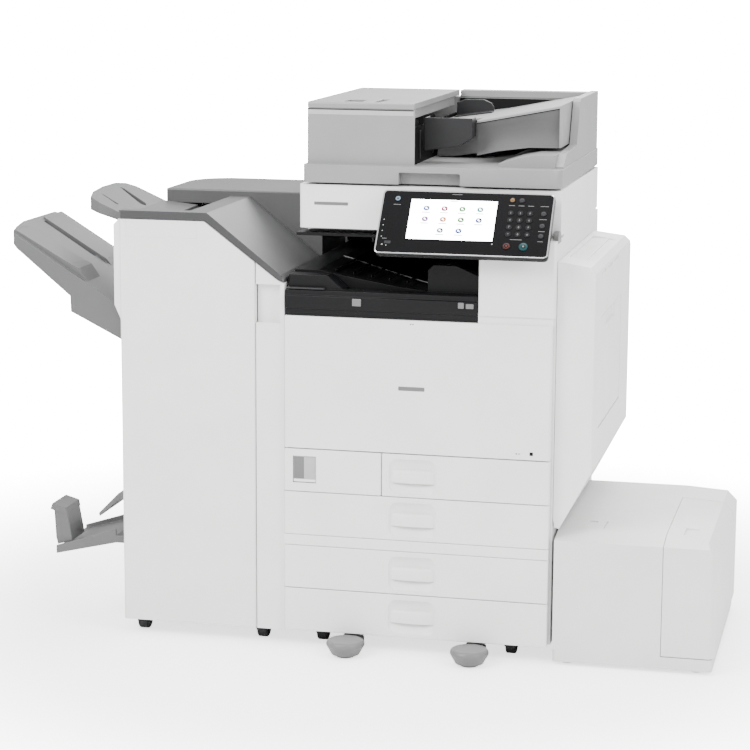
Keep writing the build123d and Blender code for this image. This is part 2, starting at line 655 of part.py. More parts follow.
def booklet_tray():
    """Lower output tray: a flat bed with side walls and the sloping guide above it."""
    y = (24, 225)
    floor = [(-378.5, 222), (-400, 222), (-530, 184), (-544, 184), (-544, 171), (-400, 205), (-378.5, 205)]
    bed = along_y(floor, y)
    lip = [(-400, 205), (-400, 236), (-500, 204), (-544, 190), (-544, 171)]
    bed += along_y(lip, (y[0], y[0] + 5)) + along_y(lip, (y[1] - 5, y[1]))
    guide = [(-378.5, 324), (-396, 318), (-443, 270), (-441, 262), (-396, 302), (-378.5, 307)]
    link = block((-382, -378.5), (60, 200), (205, 320))
    return bed + along_y(guide, (30, 215)) + link


fence_hinge = (-538.0, 194.0)


def booklet_fence():
    """End stop of the lower tray, leaning out."""
    hx, hz = fence_hinge
    post = [(hx - 6, hz - 4), (hx + 28, hz + 6), (hx + 26, hz + 22), (-522, 272), (-552, 279),
            (hx - 10, hz + 12)]
    cap = [(-520, 262), (-523, 276), (-555, 285), (-560, 272), (-550, 268)]
    return along_y(post, (36, 118)) + along_y(cap, (34, 122))


def stapler_unit():
    frame = block((-340, -240), (60, 150), (640, 740))
    return frame - block((-350, -300), (50, 160), (680, 705)) + rod("x", (105, 690), 14.0, (-300, -232))


def finisher_caster_forks():
    return [caster_fork(x, y - caster_trail) for x in fin_caster_x for y in fin_caster_y]


# ---- side paper tray ----

lct_bevel = 12.0
lct_wall = 5.0


def lct_outline(x_low, x_high, inset=0.0):
    """Front view of the side tray's shoulder, or of its hollow when inset."""
    low = lct_z[0] + 28.5 - inset
    right = x_high - inset
    return [(x_low, low), (right, low), (right, 262 - inset / 2), (right - 22, 284 - inset),
            (x_low, 290 - inset)]


def lct_crown(solid, drop=0.0):
    """Trims the front top edge to its gentle slope."""
    y0 = lct_y[0]
    above = [(y0 - 1, 278 - drop), (y0 + 75, 291 - drop), (y0 + 75, 300), (y0 - 1, 300)]
    return solid - along_x(above, (590, 960))


def lct_body():
    x0, y, seam_x, t = lct_x[0], lct_y, lct_seam_x, lct_wall
    base = block((x0, lct_x[1] - 5), y, (lct_z[0], 35))
    base = soften(base, Axis.Z, 8.0, lambda c: c.Y < y[0] + 1)
    base -= block((x0 + 6, lct_x[1] - 11), (y[0] + 6, y[1] - 6), (lct_z[0] + 5, 36))
    hollow = lct_crown(block((x0 + t, seam_x + 1), (y[0] + t, y[1] - t), (34, 290 - t)), t)
    shell = lct_crown(block((x0, seam_x), y, (34.9, 290))) - hollow
    rear = along_y(lct_outline(seam_x - 1, lct_x[1]), (lct_cover_back + 1, y[1]))
    rear -= block((seam_x + 4, lct_x[1] - 6), (lct_cover_back + 6, y[1] - 6), (30, 255))
    rear -= rod("y", (880, 240), 8.4, (lct_cover_back, lct_cover_back + 12))
    body = base + shell + rear + block((seam_x - 1, lct_x[1] - 6), (lct_cover_back + 1, y[1]), (30, 40))
    for recess_x in ((656, 675), (694, 698)):
        body -= block(recess_x, (90, 155), (287, 295))
    for px in (x0 + 30, lct_x[1] - 40):
        for py in (y[0] + 34, y[1] - 34):
            body += rod("z", (px, py), 14.0, (0, lct_z[0] + 1))
    return body


def lct_right_cover():
    x, y, t = (lct_seam_x + 1, lct_x[1]), (lct_y[0], lct_cover_back), lct_wall
    cover = lct_crown(along_y(lct_outline(*x), y))
    hollow = lct_crown(along_y(lct_outline(x[0] - 1, x[1], t), (y[0] + t, y[1] + 1)), t)
    corner = [(x[1] - lct_bevel, y[0] - 1), (x[1] + 1, y[0] - 1), (x[1] + 1, y[0] + lct_bevel)]
    inner_corner = along_z([(x[1] - lct_bevel - t, y[0] + t - 2), (x[1] - t + 2, y[0] + t - 2),
                            (x[1] - t + 2, y[0] + lct_bevel + t)], (30, 300))
    cover = cover - (hollow - inner_corner) - along_z(corner, (30, 300))
    return cover - block((869, 899), (90, 151), (283, 295))


def lct_down_button():
    return rod("y", (880, 240), 8.0, (lct_cover_back - 4, lct_cover_back + 8))


def lct_lift_plate():
    plate = block((612, 826), (100, 424), (48, 51))
    return plate - block((700, 740), (99, 180), (47, 52))


# ---- write every node, moved to the bottom centre of the machine ----

nodes = {
    "paper_bank_frame": paper_bank_frame(), "main_frame": main_frame(), "front_door": front_door(),
    "inner_plate": inner_plate(), "toner_bottles": toner_bottles(), "drum_units": drum_units(),
    "transfer_belt_unit": transfer_belt_unit(), "fusing_unit": fusing_unit(), "rear_cover": rear_cover(),
    "exit_tray_unit": exit_tray_unit(), "stabiliser_feet": stabiliser_feet(),
    "power_switch_cover": block((20, 71), (2.5, 5.0), (376, 434)),
    "right_door": right_door(), "bypass_tray": bypass_tray(),
    "scanner_housing": scanner_housing(), "platen_glass": block((56, 509), (101, 424), (1021, 1025)),
    "scan_carriage": scan_carriage(),
    "panel_housing": panel_housing(), "touch_screen": touch_screen(),
    "panel_keys": key_set(number_keys_at + function_keys_at, key_r),
    "start_key": key_set([start_at], start_r), "stop_key": key_set([stop_at], stop_r),
    "feeder_base": feeder_base(), "feeder_cover": feeder_cover(), "pickup_roller": pickup_roller(),
    "platen_pad": platen_pad(), "document_tray": document_tray(), "guide_front": guide_front(),
    "guide_rear": guide_rear(),
    "finisher_cabinet": finisher_cabinet(), "finisher_top": finisher_top(), "finisher_door": finisher_door(),
    "proof_tray": proof_tray(), "shift_tray": shift_tray(), "booklet_tray": booklet_tray(),
    "booklet_fence": booklet_fence(), "stapler_unit": stapler_unit(),
    "finisher_caster_forks": finisher_caster_forks(),
    "finisher_front_wheels": [caster_wheel(x, fin_caster_y[0] - caster_trail) for x in fin_caster_x],
    "finisher_rear_wheels": [caster_wheel(x, fin_caster_y[1] - caster_trail) for x in fin_caster_x],
    "lct_body": lct_body(), "lct_right_cover": lct_right_cover(), "lct_down_button": lct_down_button(),
    "lct_lift_plate": lct_lift_plate(),
}
for i in range(4):
    nodes[f"tray_{i + 1}_front"] = tray_front(i)
    nodes[f"tray_{i + 1}_box"] = tray_box(i)
for name, x, y in main_casters:
    nodes[f"caster_fork_{name}"] = caster_fork(x, y)
    nodes[f"caster_wheel_{name}"] = caster_wheel(x, y)

pieces = {name: shape if isinstance(shape, list) else [shape] for name, shape in nodes.items()}
boxes = [piece.bounding_box() for group in pieces.values() for piece in group]
low = [min(getattr(b.min, a) for b in boxes) for a in "XYZ"]
high = [max(getattr(b.max, a) for b in boxes) for a in "XYZ"]
to_origin = (-(low[0] + high[0]) / 2, -(low[1] + high[1]) / 2, -low[2])

os.makedirs("parts", exist_ok=True)
for name, group in pieces.items():
    moved = [Pos(*to_origin) * solid for piece in group for solid in piece.solids()]
    export_step(Compound(children=moved) if len(moved) > 1 else moved[0], f"parts/{name}.step")
print(len(pieces), "nodes, moved by", [round(v, 3) for v in to_origin],
      "size", [round(b - a, 1) for a, b in zip(low, high)])
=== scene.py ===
import json
import math
import bmesh
import bpy
import numpy as np
from mathutils import Matrix, Vector


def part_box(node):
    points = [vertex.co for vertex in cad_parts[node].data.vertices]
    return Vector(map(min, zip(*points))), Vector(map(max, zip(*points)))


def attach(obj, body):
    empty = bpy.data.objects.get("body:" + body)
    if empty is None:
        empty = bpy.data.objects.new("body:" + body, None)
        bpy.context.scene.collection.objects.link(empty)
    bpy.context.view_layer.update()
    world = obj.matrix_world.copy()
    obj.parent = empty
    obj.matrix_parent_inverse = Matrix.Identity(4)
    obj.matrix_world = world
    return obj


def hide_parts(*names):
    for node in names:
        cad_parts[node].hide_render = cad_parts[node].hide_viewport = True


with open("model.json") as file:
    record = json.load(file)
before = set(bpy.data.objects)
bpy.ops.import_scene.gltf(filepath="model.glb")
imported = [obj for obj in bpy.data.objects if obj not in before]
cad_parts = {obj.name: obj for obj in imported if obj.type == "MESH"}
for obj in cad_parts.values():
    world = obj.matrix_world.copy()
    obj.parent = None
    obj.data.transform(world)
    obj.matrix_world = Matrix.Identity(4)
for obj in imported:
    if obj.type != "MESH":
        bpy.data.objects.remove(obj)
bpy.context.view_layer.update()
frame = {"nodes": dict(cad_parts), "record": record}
print("frame loaded:", len(frame["nodes"]), "CAD nodes")

# every place below is in millimetres from the main unit's front left corner on the floor
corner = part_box("front_door")[0]
zero = np.array([corner.x, corner.y, 0.0])


def place(points):
    return np.asarray(points, float) / 1000 + zero  # machine millimetres to frame metres


def machineBox(node):
    low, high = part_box(node)
    return (np.array(low) - zero) * 1000, (np.array(high) - zero) * 1000


# the camera: angles in degrees, lens and sensor width in mm, place in machine millimetres
shot = {"yaw": 12.95, "pitch": 10.57, "roll": 0.31, "lens": 111.74, "sensor": 36.0,
        "place": (1310.4, -4815.2, 1545.1)}


def makeCamera():
    yaw, pitch, roll = (math.radians(shot[k]) for k in ("yaw", "pitch", "roll"))
    ahead = Vector((-math.sin(yaw) * math.cos(pitch), math.cos(yaw) * math.cos(pitch), -math.sin(pitch)))
    level = Vector((math.cos(yaw), math.sin(yaw), 0))
    up = level.cross(ahead)
    right = level * math.cos(roll) + up * math.sin(roll)
    up = right.cross(ahead)
    data = bpy.data.cameras.new("camera")
    data.lens, data.sensor_width = shot["lens"], shot["sensor"]
    camera = bpy.data.objects.new("camera", data)
    turn = Matrix((right, up, -ahead)).transposed().to_4x4()
    camera.matrix_world = Matrix.Translation(Vector(place(shot["place"]))) @ turn
    bpy.context.collection.objects.link(camera)
    bpy.context.scene.camera = camera


studio = {
    "room": 1.45,       # strength of the even light
    "backdrop": 26.0,   # how bright the empty room looks
    "panels": [  # place from the machine's middle in metres, size in metres, power in watts
        ((-2.6, -3.4, 3.6), 2.6, 330),
        ((3.4, -2.2, 2.6), 2.2, 150),
        ((0.2, 0.4, 4.2), 3.0, 190),
        ((0.6, 3.6, 2.8), 2.6, 90),
    ],
    "aim": (0, 0, 0.6),             # the point that the lights face
    "floor": (0.90, 0.90, 0.90), "floorHalf": 14.0, "floorRoughness": 0.75,
    "floorGlow": (1.9, 22.0), "glowReach": (0.75, 2.6),  # glow near and far, and where each begins, in metres
}


def setRange(node, fromLow, fromHigh, toLow, toHigh):
    ends = {"From Min": fromLow, "From Max": fromHigh, "To Min": toLow, "To Max": toHigh}
    for socket, value in ends.items():
        node.inputs[socket].default_value = value


def seenByCamera(tree, plain, bright):
    # one strength for the light it gives and another for how it looks
    path = tree.nodes.new("ShaderNodeLightPath")
    pick = tree.nodes.new("ShaderNodeMapRange")
    setRange(pick, 0, 1, plain, bright)
    tree.links.new(path.outputs["Is Camera Ray"], pick.inputs["Value"])
    return pick.outputs["Result"]


def makeStudio():
    world = bpy.data.worlds.new("paleRoom")
    bpy.context.scene.world = world
    world.use_nodes = True
    sky = world.node_tree.nodes["Background"]
    sky.inputs["Color"].default_value = (1, 1, 1, 1)
    strength = seenByCamera(world.node_tree, studio["room"], studio["backdrop"])
    world.node_tree.links.new(strength, sky.inputs["Strength"])
    for k, (spot, size, watts) in enumerate(studio["panels"]):
        data = bpy.data.lights.new(f"softPanel{k}", "AREA")
        data.shape, data.size, data.energy = "DISK", size, watts
        lamp = bpy.data.objects.new(f"softPanel{k}", data)
        lamp.location = spot
        lamp.rotation_euler = (Vector(studio["aim"]) - Vector(spot)).to_track_quat("-Z", "Y").to_euler()
        bpy.context.collection.objects.link(lamp)
    mesh = bpy.data.meshes.new("studioFloor")
    half = studio["floorHalf"]
    corners = [(-half, -half, 0), (half, -half, 0), (half, half, 0), (-half, half, 0)]
    mesh.from_pydata(corners, [], [(0, 1, 2, 3)])
    floor = bpy.data.objects.new("studioFloor", mesh)
    bpy.context.collection.objects.link(floor)
    pale = bpy.data.materials.new("paleFloor")
    pale.use_nodes = True
    shader = pale.node_tree.nodes["Principled BSDF"]
    shader.inputs["Base Color"].default_value = (*studio["floor"], 1)
    shader.inputs["Roughness"].default_value = studio["floorRoughness"]
    shader.inputs["Emission Color"].default_value = (1, 1, 1, 1)
    # the floor glows softly near the machine and brightly far off, so no horizon shows
    tree = pale.node_tree
    where = tree.nodes.new("ShaderNodeTexCoord")
    reach = tree.nodes.new("ShaderNodeVectorMath")
    reach.operation = "LENGTH"
    spread = tree.nodes.new("ShaderNodeMapRange")
    spread.interpolation_type = "SMOOTHSTEP"
    setRange(spread, *studio["glowReach"], *studio["floorGlow"])
    path = tree.nodes.new("ShaderNodeLightPath")
    seen = tree.nodes.new("ShaderNodeMath")
    seen.operation = "MULTIPLY"
    tree.links.new(where.outputs["Object"], reach.inputs[0])
    tree.links.new(reach.outputs["Value"], spread.inputs["Value"])
    tree.links.new(spread.outputs["Result"], seen.inputs[0])
    tree.links.new(path.outputs["Is Camera Ray"], seen.inputs[1])
    tree.links.new(seen.outputs[0], shader.inputs["Emission Strength"])
    mesh.materials.append(pale)


makeCamera()
makeStudio()
print("camera, lights and floor made")


finishes = {
    # name: colour, roughness, grain size in mm, grain depth in mm, mottling of the colour
    "cabinetWhite": ((0.735, 0.735, 0.73), 0.46, 0.9, 0.05, 0.03),
    "sideTrayWhite": ((0.66, 0.66, 0.655), 0.48, 0.9, 0.05, 0.03),
    "feederGrey": ((0.215, 0.215, 0.215), 0.42, 0.9, 0.05, 0.04),
    "feederLight": ((0.36, 0.36, 0.36), 0.40, 0.9, 0.05, 0.04),
    "finisherGrey": ((0.066, 0.066, 0.067), 0.45, 0.9, 0.05, 0.05),
    "outputGrey": ((0.082, 0.082, 0.083), 0.44, 0.9, 0.05, 0.05),
    "guideDark": ((0.016, 0.016, 0.017), 0.36, 0.7, 0.04, 0.10),
    "cavityBlack": ((0.0045, 0.0045, 0.005), 0.42, 0.8, 0.04, 0.12),
    # the liner black below serves black liners and also painted shadow: the shadow lines under the lid and
    # the table, and the shade in the louvre and port openings
    "linerBlack": ((0.004, 0.004, 0.004), 0.55, 0.8, 0.04, 0.12),
    # the band colour below is painted shade for the front face of the finisher's top cover
    "bandDark": ((0.026, 0.026, 0.027), 0.45, 0.9, 0.04, 0.06),
    # the skirt grey below is painted shade on the document table's hollow skirt
    "skirtShadeGrey": ((0.075, 0.075, 0.076), 0.50, 0.9, 0.05, 0.06),
    "keyDark": ((0.008, 0.008, 0.009), 0.42, 0.5, 0.01, 0.08),
    "keyMid": ((0.022, 0.022, 0.024), 0.32, 0.5, 0.01, 0.06),
    "panelGloss": ((0.0022, 0.0022, 0.0026), 0.24, 0.5, 0.003, 0.15),
    "startTeal": ((0.001, 0.030, 0.034), 0.22, 0.5, 0.01, 0.05),
    "stopDark": ((0.008, 0.006, 0.006), 0.28, 0.5, 0.01, 0.08),
    "stopRed": ((0.16, 0.009, 0.006), 0.32, 0.5, 0.01, 0.05),
    "homeBlue": ((0.10, 0.145, 0.20), 0.28, 0.5, 0.01, 0.05),
    "goldAmber": ((0.12, 0.055, 0.008), 0.30, 0.5, 0.01, 0.05),
    "legendWhite": ((0.15, 0.15, 0.15), 0.45, 0.5, 0.005, 0.04),
    "printGrey": ((0.10, 0.10, 0.10), 0.45, 0.5, 0.005, 0.06),
    "lampPale": ((0.22, 0.23, 0.20), 0.25, 0.5, 0.005, 0.05),
    "rimSilver": ((0.42, 0.42, 0.43), 0.28, 0.5, 0.01, 0.05),
    "screenInk": ((0.20, 0.22, 0.25), 0.40, 0.5, 0.003, 0.05),
    "padWhite": ((0.70, 0.70, 0.69), 0.60, 1.5, 0.06, 0.04),
    "rollerRubber": ((0.018, 0.018, 0.018), 0.70, 0.6, 0.05, 0.10),
    "casterBlack": ((0.008, 0.008, 0.008), 0.38, 0.7, 0.03, 0.12),
    "wheelBlack": ((0.012, 0.012, 0.012), 0.55, 0.8, 0.04, 0.14),
    "footGrey": ((0.115, 0.115, 0.115), 0.36, 0.8, 0.04, 0.06),
    "switchSmoke": ((0.33, 0.33, 0.33), 0.34, 0.8, 0.02, 0.05),
    "innerGrey": ((0.20, 0.21, 0.22), 0.48, 0.9, 0.05, 0.05),
    "tonerDark": ((0.020, 0.020, 0.022), 0.40, 0.7, 0.03, 0.08),
    "drumDark": ((0.015, 0.018, 0.020), 0.45, 0.7, 0.03, 0.08),
    "fuserGrey": ((0.06, 0.06, 0.06), 0.50, 0.9, 0.05, 0.06),
    "tonerCyan": ((0.01, 0.16, 0.30), 0.35, 0.7, 0.02, 0.05),
    "tonerMagenta": ((0.30, 0.02, 0.12), 0.35, 0.7, 0.02, 0.05),
    "tonerYellow": ((0.50, 0.38, 0.02), 0.35, 0.7, 0.02, 0.05),
    "tonerBlack": ((0.006, 0.006, 0.006), 0.35, 0.7, 0.02, 0.10),
    "leverGreen": ((0.02, 0.22, 0.10), 0.38, 0.7, 0.03, 0.05),
    "steelPlate": ((0.42, 0.42, 0.43), 0.33, 1.6, 0.02, 0.05),
    "screwSteel": ((0.45, 0.45, 0.46), 0.30, 0.8, 0.02, 0.05),
}
iconColours = {
    "iconBlue": (0.015, 0.035, 0.20), "iconMagenta": (0.24, 0.015, 0.07), "iconGreen": (0.012, 0.14, 0.02),
    "iconTeal": (0.006, 0.14, 0.13), "iconPurple": (0.08, 0.012, 0.14), "iconOrange": (0.34, 0.08, 0.006),
    "iconLeaf": (0.03, 0.13, 0.012), "iconIndigo": (0.01, 0.014, 0.15), "iconSky": (0.012, 0.05, 0.26),
}
finishes.update({name: (colour, 0.45, 0.5, 0.003, 0.10) for name, colour in iconColours.items()})
special = {name: {"Specular IOR Level": 0.1} for name in iconColours}
special.update({  # values of single shader sockets, the same all over
    "panelGloss": {"Specular IOR Level": 0.12}, "cavityBlack": {"Specular IOR Level": 0.16},
    "linerBlack": {"Specular IOR Level": 0.12}, "guideDark": {"Specular IOR Level": 0.25},
    "keyDark": {"Specular IOR Level": 0.12}, "keyMid": {"Specular IOR Level": 0.15},
    "stopDark": {"Specular IOR Level": 0.2}, "startTeal": {"Specular IOR Level": 0.3},
    "casterBlack": {"Specular IOR Level": 0.25}, "wheelBlack": {"Specular IOR Level": 0.25},
    "rimSilver": {"Metallic": 0.85}, "steelPlate": {"Metallic": 0.9}, "screwSteel": {"Metallic": 0.95},
})
materials = {}


def newMaterial(name):
    made = bpy.data.materials.new(name)
    made.use_nodes = True
    materials[name] = made
    return made.node_tree, made.node_tree.nodes["Principled BSDF"]


def addNode(tree, kind, **sockets):
    node = tree.nodes.new(kind)
    for key, value in sockets.items():
        node.inputs[key.replace("_", " ")].default_value = value
    return node


def mottled(tree, shader, colour, amount, scale):
    # two sizes of noise lighten and darken the colour a little, as in moulded plastic
    where = tree.nodes.new("ShaderNodeTexCoord")
    broad = addNode(tree, "ShaderNodeTexNoise", Scale=scale, Detail=3.0, Roughness=0.6)
    ramp = tree.nodes.new("ShaderNodeValToRGB")
    for k, side in enumerate((-1, 1)):
        shade = [min(1.0, max(0.0, c * (1 + side * amount))) for c in colour]
        ramp.color_ramp.elements[k].color = (*shade, 1)
        ramp.color_ramp.elements[k].position = 0.3 + 0.4 * k
    tree.links.new(where.outputs["Object"], broad.inputs["Vector"])
    tree.links.new(broad.outputs["Fac"], ramp.inputs["Fac"])
    tree.links.new(ramp.outputs["Color"], shader.inputs["Base Color"])
    return where


def grained(tree, shader, where, grain, depth, rough):
    # fine spark-eroded grain: a cell pattern and a fine noise, as bump and as a little roughness change
    cells = addNode(tree, "ShaderNodeTexVoronoi", Scale=1000 / grain)
    fine = addNode(tree, "ShaderNodeTexNoise", Scale=1600 / grain, Detail=2.0)
    both = tree.nodes.new("ShaderNodeMath")
    bump = addNode(tree, "ShaderNodeBump", Strength=0.35, Distance=depth / 1000)
    spread = tree.nodes.new("ShaderNodeMapRange")
    smudge = addNode(tree, "ShaderNodeTexNoise", Scale=5.0, Detail=4.0)
    setRange(spread, 0, 1, rough - 0.05, rough + 0.05)
    for node in (cells, fine, smudge):
        tree.links.new(where.outputs["Object"], node.inputs["Vector"])
    tree.links.new(cells.outputs["Distance"], both.inputs[0])
    tree.links.new(fine.outputs["Fac"], both.inputs[1])
    tree.links.new(both.outputs[0], bump.inputs["Height"])
    tree.links.new(bump.outputs["Normal"], shader.inputs["Normal"])
    tree.links.new(smudge.outputs["Fac"], spread.inputs["Value"])
    tree.links.new(spread.outputs["Result"], shader.inputs["Roughness"])


def mouldedPlastics():
    for name, (colour, rough, grain, depth, amount) in finishes.items():
        tree, shader = newMaterial(name)
        where = mottled(tree, shader, colour, amount, 9.0)
        grained(tree, shader, where, grain, depth, rough)
        for socket, value in special.get(name, {}).items():
            shader.inputs[socket].default_value = value


def screenGlow():
    # a lit white face with a faint, uneven blue tint
    tree, shader = newMaterial("screenWhite")
    where = mottled(tree, shader, (0.80, 0.82, 0.86), 0.02, 30.0)
    grained(tree, shader, where, 0.4, 0.002, 0.18)
    fade = addNode(tree, "ShaderNodeTexNoise", Scale=4.0, Detail=1.0)
    ramp = tree.nodes.new("ShaderNodeValToRGB")
    ramp.color_ramp.elements[0].color = (0.93, 0.96, 1.0, 1)
    ramp.color_ramp.elements[1].color = (1.0, 1.0, 1.0, 1)
    tree.links.new(where.outputs["Object"], fade.inputs["Vector"])
    tree.links.new(fade.outputs["Fac"], ramp.inputs["Fac"])
    tree.links.new(ramp.outputs["Color"], shader.inputs["Emission Color"])
    shader.inputs["Emission Strength"].default_value = 14.0


def clearGlass():
    # platen glass: clear, with a slight green tint and faint smudges in its roughness
    tree, shader = newMaterial("platenGlass")
    shader.inputs["Base Color"].default_value = (0.82, 0.90, 0.87, 1)
    shader.inputs["Transmission Weight"].default_value = 0.9
    shader.inputs["IOR"].default_value = 1.5
    where = tree.nodes.new("ShaderNodeTexCoord")
    smudge = addNode(tree, "ShaderNodeTexNoise", Scale=6.0, Detail=5.0)
    spread = tree.nodes.new("ShaderNodeMapRange")
    setRange(spread, 0, 1, 0.03, 0.12)
    tree.links.new(where.outputs["Object"], smudge.inputs["Vector"])
    tree.links.new(smudge.outputs["Fac"], spread.inputs["Value"])
    tree.links.new(spread.outputs["Result"], shader.inputs["Roughness"])


mouldedPlastics()
screenGlow()
clearGlass()
print("materials made:", len(materials))

slotFinish = {  # the finish of each material slot in the record
    "cabinet_white": "cabinetWhite", "side_tray_white": "sideTrayWhite", "feeder_grey": "feederGrey",
    "finisher_grey": "finisherGrey", "output_grey": "outputGrey", "guide_dark": "guideDark",
    "cavity_black": "cavityBlack", "panel_black": "panelGloss", "screen_face": "screenWhite",
    "key_grey": "keyDark", "start_teal": "startTeal", "stop_dark": "stopDark", "glass_clear": "platenGlass",
    "pad_white": "padWhite",
    "roller_rubber": "rollerRubber", "caster_black": "casterBlack", "wheel_black": "wheelBlack",
    "foot_grey": "footGrey", "steel_sheet": "steelPlate", "inner_grey": "innerGrey",
    "toner_dark": "tonerDark",
    "drum_dark": "drumDark", "belt_black": "rollerRubber", "fuser_grey": "fuserGrey",
    "switch_smoke": "switchSmoke",
}
slotOf = {part["node"]: part["material_slot"] for part in frame["record"]["subparts"]}


def dressCad():
    for name, node in frame["nodes"].items():
        node.data.materials.clear()
        node.data.materials.append(materials[slotFinish[slotOf[name]]])


dressCad()
print("CAD nodes dressed")


# softened edges of the moulded covers, width in mm; near-flat faces are merged first
# so that each bevel runs clean
edgeRule = {"merge": 0.00002, "flat": 0.6, "sharp": 32, "segments": 3}  # metres, degrees, degrees, steps
edgeWidths = {
    "main_frame": 1.5, "paper_bank_frame": 1.2, "front_door": 1.2, "scanner_housing": 3.0, "rear_cover": 2.0,
    "right_door": 3.5, "bypass_tray": 1.2, "finisher_cabinet": 1.5, "finisher_top": 2.2, "finisher_door": 1.6,
    "proof_tray": 2.5, "shift_tray": 3.0, "booklet_tray": 1.6, "booklet_fence": 4.0, "lct_body": 3.0,
    "lct_right_cover": 3.0, "feeder_base": 2.5, "feeder_cover": 1.5, "guide_front": 1.0, "guide_rear": 1.8,
    "exit_tray_unit": 1.2, "tray_1_front": 1.0, "tray_2_front": 1.0, "tray_3_front": 1.0, "tray_4_front": 1.0,
    "panel_housing": 0.8, "stapler_unit": 1.0, "platen_pad": 0.8, "power_switch_cover": 0.8,
    "transfer_belt_unit": 1.0, "fusing_unit": 1.2, "drum_units": 1.2,
}


def softBevel(piece, width):
    bevel = piece.modifiers.new("soft", "BEVEL")
    bevel.width, bevel.segments = width / 1000, edgeRule["segments"]
    bevel.limit_method, bevel.angle_limit = "ANGLE", math.radians(edgeRule["sharp"])
    bevel.harden_normals = True
    return bevel


def roundEdges():
    for name, width in edgeWidths.items():
        node = frame["nodes"][name]
        weld = node.modifiers.new("join", "WELD")
        weld.merge_threshold = edgeRule["merge"]
        flat = node.modifiers.new("flat", "DECIMATE")
        flat.decimate_type, flat.angle_limit = "DISSOLVE", math.radians(edgeRule["flat"])
        softBevel(node, width).use_clamp_overlap = True


roundEdges()
print("edges softened:", len(edgeWidths))


def gridFaces(rows, cols, wrap):
    # quads between neighbouring rows and columns; wrap joins the last column to the first
    r, c = np.meshgrid(np.arange(rows - 1), np.arange(cols if wrap else cols - 1), indexing="ij")
    a, b = r * cols + c, r * cols + (c + 1) % cols
    return np.stack([a, b, b + cols, a + cols], -1).reshape(-1, 4).tolist()


def tube(rings):
    # closed rings of points joined in order, with a flat cap at each end
    rings = np.asarray(rings, float)
    rows, cols = rings.shape[:2]
    caps = [list(range(cols))[::-1], list(range((rows - 1) * cols, rows * cols))]
    return rings.reshape(-1, 3), gridFaces(rows, cols, True) + caps


def hoop(rings):
    # sections joined in order and the last one back to the first, so nothing is left open
    rings = np.asarray(rings, float)
    rows, cols = rings.shape[:2]
    r, c = np.meshgrid(np.arange(rows), np.arange(cols), indexing="ij")
    here, beside = r * cols + c, r * cols + (c + 1) % cols
    onward, across = (r + 1) % rows * cols + c, (r + 1) % rows * cols + (c + 1) % cols
    return rings.reshape(-1, 3), np.stack([here, beside, across, onward], -1).reshape(-1, 4).tolist()


def joined(shells):
    # several (points, faces) shells as one
    points, faces, start = [], [], 0
    for p, f in shells:
        points.append(p)
        faces += [[k + start for k in face] for face in f]
        start += len(p)
    return np.concatenate(points), faces


def roundedOutline(w, h, r, n=6):
    # a rectangle whose corners are quarter circles: n steps of angle round each corner's centre
    angles = np.linspace(0, np.pi / 2, n + 1)
    corners = [(w / 2 - r, h / 2 - r, 0), (-w / 2 + r, h / 2 - r, 1), (-w / 2 + r, -h / 2 + r, 2),
               (w / 2 - r, -h / 2 + r, 3)]
    return np.concatenate([np.stack([cx + r * np.cos(angles + k * np.pi / 2),
                                     cy + r * np.sin(angles + k * np.pi / 2)], -1) for cx, cy, k in corners])


def prism(outline, axis, span):
    # a flat outline carried along one axis; the outline's two numbers are the other axes in X, Y, Z order
    outline = np.asarray(outline, float)
    others = [k for k in range(3) if k != axis]
    rings = np.zeros((2, len(outline), 3))
    rings[:, :, others] = outline
    rings[0, :, axis], rings[1, :, axis] = span
    return tube(rings)


def slabOf(x, y, z):
    return prism([(x[0], y[0]), (x[1], y[0]), (x[1], y[1]), (x[0], y[1])], 2, z)


def turned(profile, centre, axis, n=40):
    # a profile of (radius, height) spun round an axis through centre
    profile = np.asarray(profile, float)
    angle = np.linspace(0, 2 * np.pi, n, endpoint=False)
    others = [k for k in range(3) if k != axis]
    rings = np.zeros((len(profile), n, 3))
    rings[:, :, others[0]] = centre[others[0]] + profile[:, :1] * np.cos(angle)
    rings[:, :, others[1]] = centre[others[1]] + profile[:, :1] * np.sin(angle)
    rings[:, :, axis] = centre[axis] + profile[:, 1:2]
    return tube(rings)


def addPiece(name, shell, finish, body, bevel=0.0, smooth=True, node=None, rows=None):
    # puts a shell of machine millimetres into a mesh, faces outwards, and lets it ride on its body;
    # rows gives each face its place in a list of finishes, and node names the CAD node that it replaces
    points, faces = shell
    mesh = bpy.data.meshes.new(name)
    mesh.from_pydata(place(points).tolist(), [], faces)
    work = bmesh.new()
    work.from_mesh(mesh)
    bmesh.ops.recalc_face_normals(work, faces=work.faces)
    work.to_mesh(mesh)
    work.free()
    for each in finish if isinstance(finish, list) else [finish]:
        mesh.materials.append(materials[each])
    if rows is not None:
        mesh.polygons.foreach_set("material_index", np.asarray(rows, np.int32))
    mesh.polygons.foreach_set("use_smooth", np.full(len(mesh.polygons), bool(smooth or bevel)))
    piece = bpy.data.objects.new(name, mesh)
    bpy.context.collection.objects.link(piece)
    if smooth and not bevel:
        mesh.set_sharp_from_angle(angle=math.radians(35))
    if bevel:
        softBevel(piece, bevel)
    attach(piece, body)
    if node:
        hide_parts(node)


def inPlane(origin, across, up, out):
    # a function from (across, up, out) numbers to machine millimetres
    frameOf = np.array([across, up, out], float)
    return lambda p: np.asarray(origin, float) + np.asarray(p, float) @ frameOf


